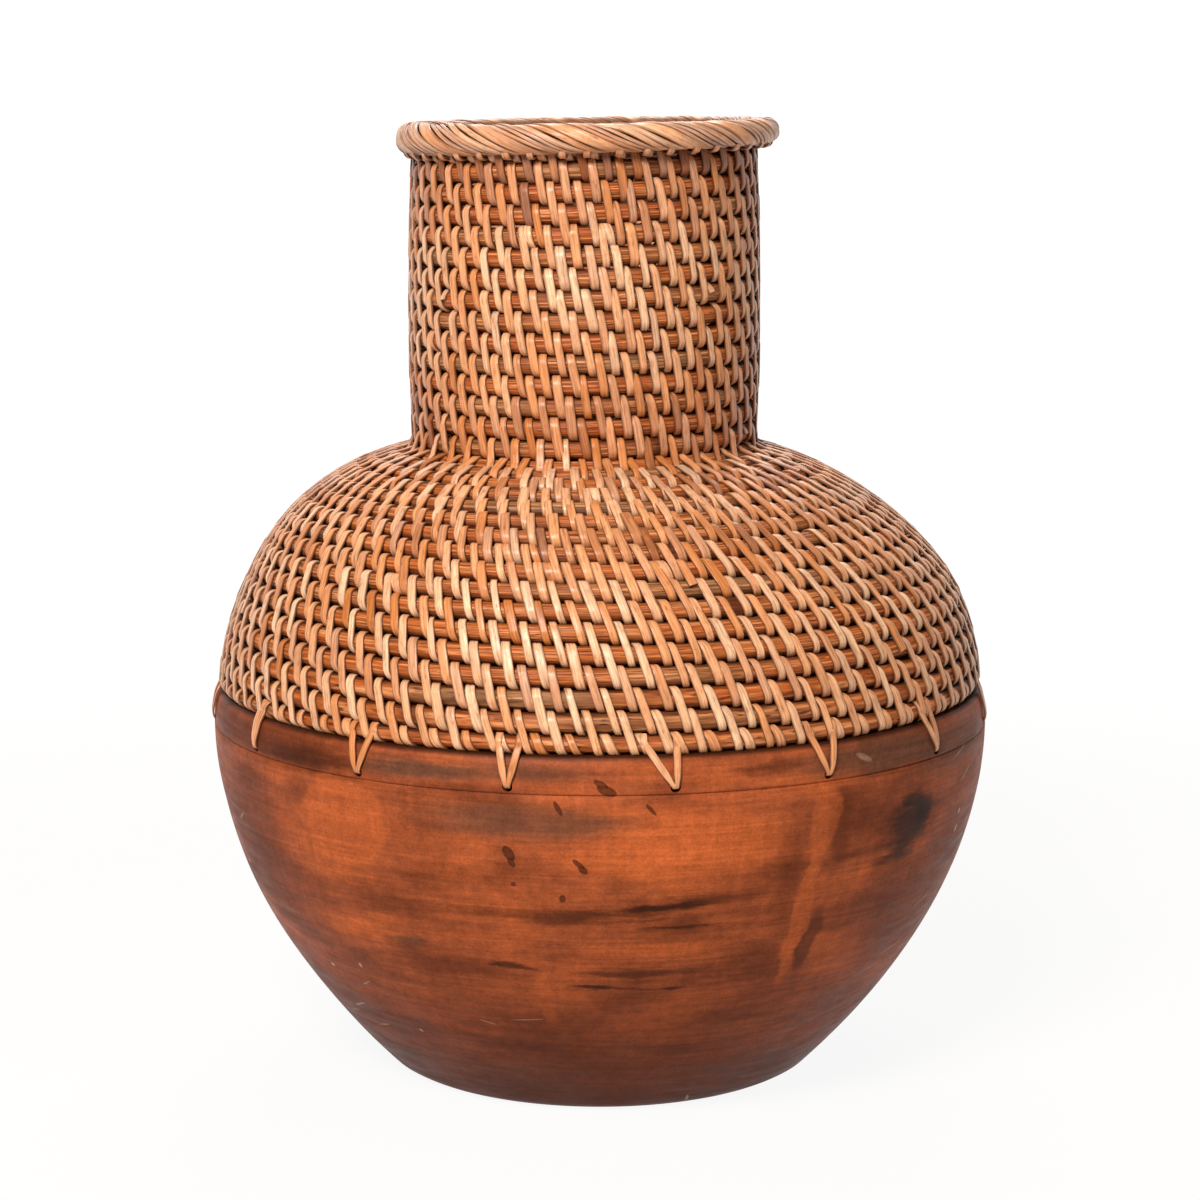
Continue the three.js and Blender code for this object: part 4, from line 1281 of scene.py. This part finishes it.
# Slack between a lashing and what it lies on, half distance between its legs at the hole, tilts at
# which it bends over the cane, and its width at the hole as a share of its full width
TIE_SLACK, LEG_ASIDE = 0.25 * MM, 0.35 * MM
TIE_TILTS = np.radians([-12, 15, 42, 68])
TIE_NARROWEST = 0.62

# Side view of a lashing by its hole, inside and outside the wall: millimetres out from the wall's
# face, share of the lashing's own offset added to that, and millimetres above the hole
INNER_END = ((4, 0, 0), (1, 0, 0), (0, -2, 1.5))
OUTER_END = ((-5, 0, 0), (-1.2, 0, -0.3), (0, 0.55, 0.5), (0, 1.2, 3))

# Share of the lip's rise at which an outer leg is half way up, how far below the lip's top it bends
# over, and how far it stands off at both, as shares of its offset
LEG_HALF_WAY, LEG_BEND, LEG_STANDS_OFF = 0.55, 1.5 * MM, (1.5, 1.8)

# Height above the hole at which a leg starts to widen, height over which it does, and steps between
# two points of its side view
WIDENS_FROM, WIDENS_OVER, LEG_STEPS = MM, 6 * MM, 4

# Tone of a lashing, spread of its legs' tones, their grey, and thickness as a share of a stitch's
TIE_TONE, LEG_TONES, LEG_GREY, TIE_THICKNESS = (0.35, 0.7), (-0.12, 0.12), (0, 0.15), 0.9


def lashing_leg(line, bowl, stitch, axis_angle, top, inside):
    """Centre line, outward directions and widths of one leg of a lashing, up from its hole."""
    offset = stitch.thickness / 2 + TIE_SLACK
    hole = bowl.belly_height + stitch.tie_rise
    turn = held_turn(line, axis_angle + top / bowl.belly_radius)
    lip_top = bowl.belly_height + bowl.lip_rise
    tilts = math.pi - TIE_TILTS if inside else TIE_TILTS
    wall = bowl.belly_radius - (bowl.wall if inside else 0)
    flat = [
        (wall + out * MM + share * offset, hole + up * MM)
        for out, share, up in (INNER_END if inside else OUTER_END)
    ]
    if inside:
        lip_inner = bowl.belly_radius - bowl.lip_turn_in - bowl.lip_width - offset
        flat += [(lip_inner, lip_top - bowl.lip_depth), (lip_inner, lip_top)]
    else:
        levels = (bowl.belly_height + bowl.lip_rise * LEG_HALF_WAY, lip_top - LEG_BEND)
        for level, share in zip(levels, LEG_STANDS_OFF):
            flat.append((lip_radius(bowl, level) + share * offset, level))
    radius, level, _ = line.over(np.full(len(tilts), turn), tilts, offset)
    flat = np.array(flat + list(zip(radius, level)))
    rise = np.clip((flat[:, 1] - hole) / (level[1] - hole), 0, 1)
    sideways = top * rise + LEG_ASIDE * np.sign(top) * (1 - rise)
    path = curved_through(np.column_stack([flat, sideways]), LEG_STEPS)
    heading = unit(np.gradient(path[:, :2], axis=0))
    facing = np.column_stack([heading[:, 1], -heading[:, 0]])
    turns = axis_angle + path[:, 2] / bowl.belly_radius
    points = around(path[:, 0], path[:, 1], turns)
    outward = around(facing[:, 0], facing[:, 1], turns)
    narrow = smooth((path[:, 1] - hole - WIDENS_FROM) / WIDENS_OVER)
    widths = stitch.tie_width * (TIE_NARROWEST + (1 - TIE_NARROWEST) * narrow)
    return line.lean(points), outward, widths


class VASE_OT_lashings(bpy.types.Operator):
    """Lash the lowest course to the bowl through each drilled hole"""

    bl_idname = "vase.lashings"
    bl_label = "Lashings"

    def execute(self, context):
        bowl, stitch = context.scene.vase_bowl, context.scene.vase_stitch
        line = CoilLine(context.scene)
        peel = material_of("cane_peel_strip", peel_material, stitch)
        draw = random.Random(TIE_SEED)
        for tie in range(stitch.ties):
            tubes = TubeMesh()
            tops = TIE_LEG_TOPS[tie % len(TIE_LEG_TOPS)]
            tone = draw.uniform(*TIE_TONE)
            for top, inside in ((tops[0] * MM, False), (tops[1] * MM, False), (0.0, True)):
                points, outward, widths = lashing_leg(
                    line, bowl, stitch, tie_angle(stitch, tie), top, inside
                )
                tubes.add(
                    strip_tube(points, outward, widths, TIE_THICKNESS * stitch.thickness),
                    tone=tone + draw.uniform(*LEG_TONES),
                    weathered=draw.uniform(*LEG_GREY),
                    edge=STRIP_EDGE,
                    offset=draw.uniform(0, GRAIN_START),
                )
            piece = tubes.build(f"lashing_{tie + 1:02d}", peel, SHARP_PEEL)
            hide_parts(f"tie_{tie + 1:02d}")
        return {"FINISHED"}


# Splints side by side in each strip of the wrapping, with the least and most of its tone and grey
RIM_STRIPS = (
    (1, 0.5, 0.9, 0.0, 0.2),
    (3, 0.35, 0.75, 0.3, 0.9),
    (2, 0.5, 1.0, 0.05, 0.5),
    (1, 0.45, 1.0, 0.0, 0.4),
    (3, 0.3, 0.7, 0.4, 0.95),
    (2, 0.4, 0.9, 0.2, 0.7),
)

# Side view of a tab that holds the wrapping to the top course, in mm from the roll's centre, with
# its width and the steps between two of these points
TAB_SIDE_VIEW = ((3.0, -4.6), (2.3, -6.2), (1.0, -7.1), (-1.0, -7.2), (-3.0, -6.0))
TAB_WIDTH, TAB_STEPS = 3.4 * MM, 3

# Shares of its width that a tab may have, its tone and grey, its thickness as a share of the
# wrapping's, and how far it may stray from its place, as a share of the strips' spacing
TAB_WIDTHS, TAB_TONE, TAB_GREY, TAB_THICKNESS = (0.85, 1.1), (0.4, 0.75), (0, 0.5), 0.8
TAB_STRAY = (-0.1, 0.1)

# Share by which the roll is thicker at the left and thinner at the right
ROLL_TAPER = 0.13

# How far the core lies in and down towards the top course where the roll stands off most, and the
# angle right of the front at which that is
CORE_SUNK = 3.0 * MM
CORE_SUNK_AT = math.radians(120)

# Sides of the core, steps in a wrap of a strip, waves along a splint, least size of a wave in
# millimetres, and most that it lifts and shifts the splint
CORE_SIDES, WRAP_STEPS = 16, 28
SPLINT_BEATS, LEAST_WAVE, MOST_WAVES = (5, 11, 17), 0.06, (0.24, 0.3)

# Painted shade on the core, which shows only in the wrapping's gaps, and on the wrapping's inner
# side, darkening of a splint's edges, partly painted shade, and the share of its room that a splint
# fills, less so much for each splint in the strip
CORE_SHADE, INNER_SIDE_SHADE, EDGE_STAIN_AND_SHADE = 0.8, 0.9, 0.6
FILLED, FILLED_LESS = 0.96, 0.03

# Where the painted shade on the inner side starts and how soon it is full, by how far a splint faces
# inwards
HIDDEN_START, HIDDEN_SPAN = 0.05, 0.6


def rim_points(line, rim, turn, wrap, radius, sunk=0.0):
    """Points on the rim roll, a turn round the vase and a turn round the roll's core."""
    radius = radius * (1 - ROLL_TAPER * np.sin(turn))
    points = around(
        rim.radius - sunk + radius * np.cos(wrap), rim.level - sunk + radius * np.sin(wrap), turn
    )
    moved = line.lean(points)
    moved[..., 0] += rim.shift
    return moved


class VASE_OT_rim(bpy.types.Operator):
    """Bend the rim's core cane and wind the wrapping round it"""

    bl_idname = "vase.rim"
    bl_label = "Wrapped Rim"

    def execute(self, context):
        scene, rim = context.scene, context.scene.vase_rim
        line = CoilLine(scene)
        peel = material_of("cane_peel_strip", peel_material, scene.vase_stitch)
        cane = material_of("stained_core_cane", cane_material, scene.vase_coil)
        turn = np.linspace(0, FULL_TURN, LOOP_STEPS, endpoint=False)[:, None]
        wrap = -np.linspace(0, FULL_TURN, CORE_SIDES, endpoint=False)[None]
        core = TubeMesh()
        sunk = CORE_SUNK * (1 + np.cos(turn - CORE_SUNK_AT)) / 2
        rings = rim_points(line, rim, turn, wrap, rim.core, sunk)
        # The core is darkened all round as painted shade
        core.add(rings, edge=CORE_SHADE, closed=True)
        piece = core.build("rim_core_cane", cane, SHARP_CANE)
        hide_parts("rim_core")
        draw = random.Random(RIM_SEED)
        for strip in range(rim.strips):
            tubes = TubeMesh()
            self.wind(tubes, line, rim, strip, draw)
            self.hold(tubes, line, rim, strip, draw)
            piece = tubes.build(f"rim_wrap_{strip + 1}", peel, SHARP_PEEL)
            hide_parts(f"rim_strip_{strip + 1}")
        return {"FINISHED"}

    def wind(self, tubes, line, rim, strip, draw):
        """Splints side by side that run together round the core, as one strip."""
        share = np.linspace(0, 1, WRAP_STEPS * rim.wraps + 1)
        beats = np.linspace(0, 1, 2 * rim.wraps + 1)
        climb = math.atan2(rim.roll * rim.wraps, rim.radius)
        spacing = FULL_TURN * rim.radius / (rim.strips * rim.wraps) * math.sin(climb)
        splints, low_tone, high_tone, low_grey, high_grey = RIM_STRIPS[strip % len(RIM_STRIPS)]
        for splint in range(splints):
            aside = ((splint + 0.5) / splints - 0.5) * spacing
            turn = FULL_TURN * share + aside * math.sin(climb) / rim.radius
            wrap = FULL_TURN * (strip / rim.strips - rim.wraps * share)
            wrap = wrap + aside * math.cos(climb) / rim.roll
            wave, sway = (self.waves(share, most, draw) for most in MOST_WAVES)
            wrap = wrap + sway * MM / rim.roll
            points = rim_points(line, rim, turn, wrap, rim.roll + wave * MM)
            outward = unit(points - rim_points(line, rim, turn, wrap, 0.0))
            tone = np.interp(share, beats, [draw.uniform(low_tone, high_tone) for _ in beats])
            grey = np.interp(share, beats, [draw.uniform(low_grey, high_grey) for _ in beats])
            # Painted shade on the wrapping's inner side
            hidden = INNER_SIDE_SHADE * smooth((-np.cos(wrap) - HIDDEN_START) / HIDDEN_SPAN)
            filled = FILLED - FILLED_LESS * splints
            widths = np.full(len(share), spacing / splints * filled)
            tubes.add(
                strip_tube(points, outward, widths, rim.thickness),
                tone=tone[:, None],
                weathered=grey[:, None],
                edge=np.maximum(EDGE_STAIN_AND_SHADE * STRIP_EDGE, hidden[:, None]),
                offset=draw.uniform(0, GRAIN_START),
            )

    def waves(self, share, most, draw):
        """Small waves along a splint, in millimetres."""
        found = 0
        for beat in SPLINT_BEATS:
            size = draw.uniform(LEAST_WAVE, most)
            found = found + size * np.sin(FULL_TURN * share * beat + draw.uniform(*PHASES))
        return found

    def hold(self, tubes, line, rim, strip, draw):
        """Short tabs under the roll, one at each crossing of the strip."""
        side_view = np.array(TAB_SIDE_VIEW) * MM
        for loop in range(rim.wraps):
            turn = FULL_TURN * (loop + (strip + draw.uniform(*TAB_STRAY)) / rim.strips) / rim.wraps
            flat = curved_through(side_view, TAB_STEPS) * (1 - ROLL_TAPER * math.sin(turn))
            heading = unit(np.gradient(flat, axis=0))
            points = line.lean(around(rim.radius + flat[:, 0], rim.level + flat[:, 1], turn))
            points[:, 0] += rim.shift
            outward = around(-heading[:, 1], heading[:, 0], turn)
            widths = np.full(len(flat), TAB_WIDTH * draw.uniform(*TAB_WIDTHS))
            tubes.add(
                strip_tube(points, outward, widths, TAB_THICKNESS * rim.thickness),
                tone=draw.uniform(*TAB_TONE),
                weathered=draw.uniform(*TAB_GREY),
                edge=STRIP_EDGE,
                offset=draw.uniform(0, GRAIN_START),
            )


def area_lamp(name, place, aim, size, power, shade):
    """A square lamp with soft edges, turned to a point."""
    lamp = bpy.data.lights.new(name, "AREA")
    lamp.energy, lamp.size, lamp.color = power, size, linear(shade)[:3]
    holder = bpy.data.objects.new(name, lamp)
    holder.location = place
    holder.rotation_euler = (Vector(aim) - Vector(place)).to_track_quat("-Z", "Y").to_euler()
    bpy.context.scene.collection.objects.link(holder)


# Glow of the paper as the camera sees it, its share next to the vase, and the distances in metres
# from which it grows and at which it is full
PAPER_GLOW, PALE_NEAR, PALE_REACH = 1.04, 0.88, (0.4, 1.4)

# Strength of the white surroundings, for light and as the camera sees them
SKY_LIGHT, SKY_SEEN = 0.16, 1.0

# Lamps: place, aim, size, power and colour
LAMPS = {
    "key": ((-0.6, -1.66, 1.68), (0, 0, 0.22), 0.7, 62, "fff6ec"),
    "fill": ((1.6, -1.2, 0.9), (0, 0, 0.2), 1.4, 2.5, "fff3e8"),
    "back": ((0.1, 1.6, 1.7), (0, 0, 0.2), 1.2, 22, "fff6ec"),
}

# Sweep of paper: half width, front edge, where it starts to curve up, radius of the curve and top,
# points along the curve, and width of the camera's sensor in millimetres
SWEEP_HALF, SWEEP_FRONT, SWEEP_BEND, SWEEP_CURVE, SWEEP_TOP = 5.0, -4.0, 1.8, 1.2, 4.0
SWEEP_POINTS, SENSOR_WIDTH = 13, 36


def backdrop_material(stage):
    """Matt paper sweep, painted white.

    The eye gets an even pale ground with the vase's soft shadow on it.
    """
    material = bpy.data.materials.new("matt_paper_sweep")
    tree = emptied(material)
    paper = add(tree, "ShaderNodeBsdfDiffuse", {"Color": stage.floor})
    glow = add(tree, "ShaderNodeEmission", {"Strength": PAPER_GLOW})
    path = add(tree, "ShaderNodeLightPath").outputs
    sockets = {0: path["Is Camera Ray"], 1: path["Is Glossy Ray"]}
    seen = add(tree, "ShaderNodeMath", sockets, operation="MAXIMUM").outputs[0]
    place = add(tree, "ShaderNodeTexCoord").outputs["Object"]
    away = add(tree, "ShaderNodeVectorMath", {0: place}, operation="LENGTH").outputs["Value"]
    sockets = dict(zip(RANGE_INPUTS, (away, *PALE_REACH, PALE_NEAR, 1)))
    pale = add(tree, "ShaderNodeMapRange", sockets, interpolation_type="SMOOTHSTEP").outputs[0]
    share = add(tree, "ShaderNodeMath", {0: seen, 1: pale}, operation="MULTIPLY").outputs[0]
    sockets = {0: share, 1: paper.outputs[0], 2: glow.outputs[0]}
    surface = add(tree, "ShaderNodeMixShader", sockets)
    add(tree, "ShaderNodeOutputMaterial", {"Surface": surface.outputs[0]})
    return material


class VASE_OT_stage(bpy.types.Operator):
    """Lay the pale floor and backdrop, light the vase and set the camera"""

    bl_idname = "vase.stage"
    bl_label = "Stage"

    def execute(self, context):
        scene, stage = context.scene, context.scene.vase_stage
        self.lay_sweep(scene, stage)
        world = bpy.data.worlds.new("studio")
        scene.world = world
        tree = emptied(world)
        seen = add(tree, "ShaderNodeLightPath").outputs["Is Camera Ray"]
        sockets = dict(zip(RANGE_INPUTS, (seen, 0, 1, SKY_LIGHT, SKY_SEEN)))
        level = add(tree, "ShaderNodeMapRange", sockets).outputs[0]
        sockets = {"Color": (1, 1, 1, 1), "Strength": level}
        sky = add(tree, "ShaderNodeBackground", sockets)
        add(tree, "ShaderNodeOutputWorld", {"Surface": sky.outputs[0]})
        for name, lamp in LAMPS.items():
            area_lamp(name, *lamp)
        lens = bpy.data.cameras.new("camera")
        lens.lens, lens.sensor_width = stage.lens, SENSOR_WIDTH
        camera = bpy.data.objects.new("camera", lens)
        camera.location = (0, -stage.distance, stage.height)
        camera.rotation_euler = (math.pi / 2 - stage.tilt, 0, 0)
        scene.collection.objects.link(camera)
        scene.camera = camera
        scene.view_settings.view_transform = "Standard"
        return {"FINISHED"}

    def lay_sweep(self, scene, stage):
        """A sheet that lies flat under the vase and curves up far behind it."""
        side = [(SWEEP_FRONT, 0.0), (SWEEP_BEND, 0.0)]
        for bend in np.linspace(0, math.pi / 2, SWEEP_POINTS)[1:]:
            back = SWEEP_BEND + SWEEP_CURVE * math.sin(bend)
            side.append((back, SWEEP_CURVE - SWEEP_CURVE * math.cos(bend)))
        side.append((SWEEP_BEND + SWEEP_CURVE, SWEEP_TOP))
        points = [(x, y, z) for y, z in side for x in (-SWEEP_HALF, SWEEP_HALF)]
        faces = [(2 * row, 2 * row + 1, 2 * row + 3, 2 * row + 2) for row in range(len(side) - 1)]
        mesh = bpy.data.meshes.new("sweep")
        mesh.from_pydata(points, [], faces)
        mesh.shade_smooth()
        mesh.materials.append(backdrop_material(stage))
        sweep = bpy.data.objects.new("sweep", mesh)
        scene.collection.objects.link(sweep)


OPERATORS = (
    VASE_OT_bowl,
    VASE_OT_canes,
    VASE_OT_stitching,
    VASE_OT_lashings,
    VASE_OT_rim,
    VASE_OT_stage,
)


class VASE_PT_panel(bpy.types.Panel):
    """The vase's pieces and sizes"""

    bl_idname = "VASE_PT_panel"
    bl_label = "Clay and Cane Vase"
    bl_space_type = "VIEW_3D"
    bl_region_type = "UI"
    bl_category = "Vase"

    def draw(self, context):
        for operator in OPERATORS:
            self.layout.operator(operator.bl_idname)
        for name, group in SETTINGS.items():
            box = self.layout.box()
            box.label(text=group.__doc__)
            for setting in group.__annotations__:
                box.prop(getattr(context.scene, name), setting)


def register():
    for group in (*SETTINGS.values(), *OPERATORS, VASE_PT_panel):
        bpy.utils.register_class(group)
    for name, group in SETTINGS.items():
        setattr(bpy.types.Scene, name, bpy.props.PointerProperty(type=group))


def unregister():
    for name in SETTINGS:
        delattr(bpy.types.Scene, name)
    for group in reversed((*SETTINGS.values(), *OPERATORS, VASE_PT_panel)):
        bpy.utils.unregister_class(group)


def main():
    register()
    bpy.ops.vase.bowl()
    bpy.ops.vase.canes()
    bpy.ops.vase.stitching()
    bpy.ops.vase.lashings()
    bpy.ops.vase.rim()
    bpy.ops.vase.stage()


if __name__ == "__main__":
    main()
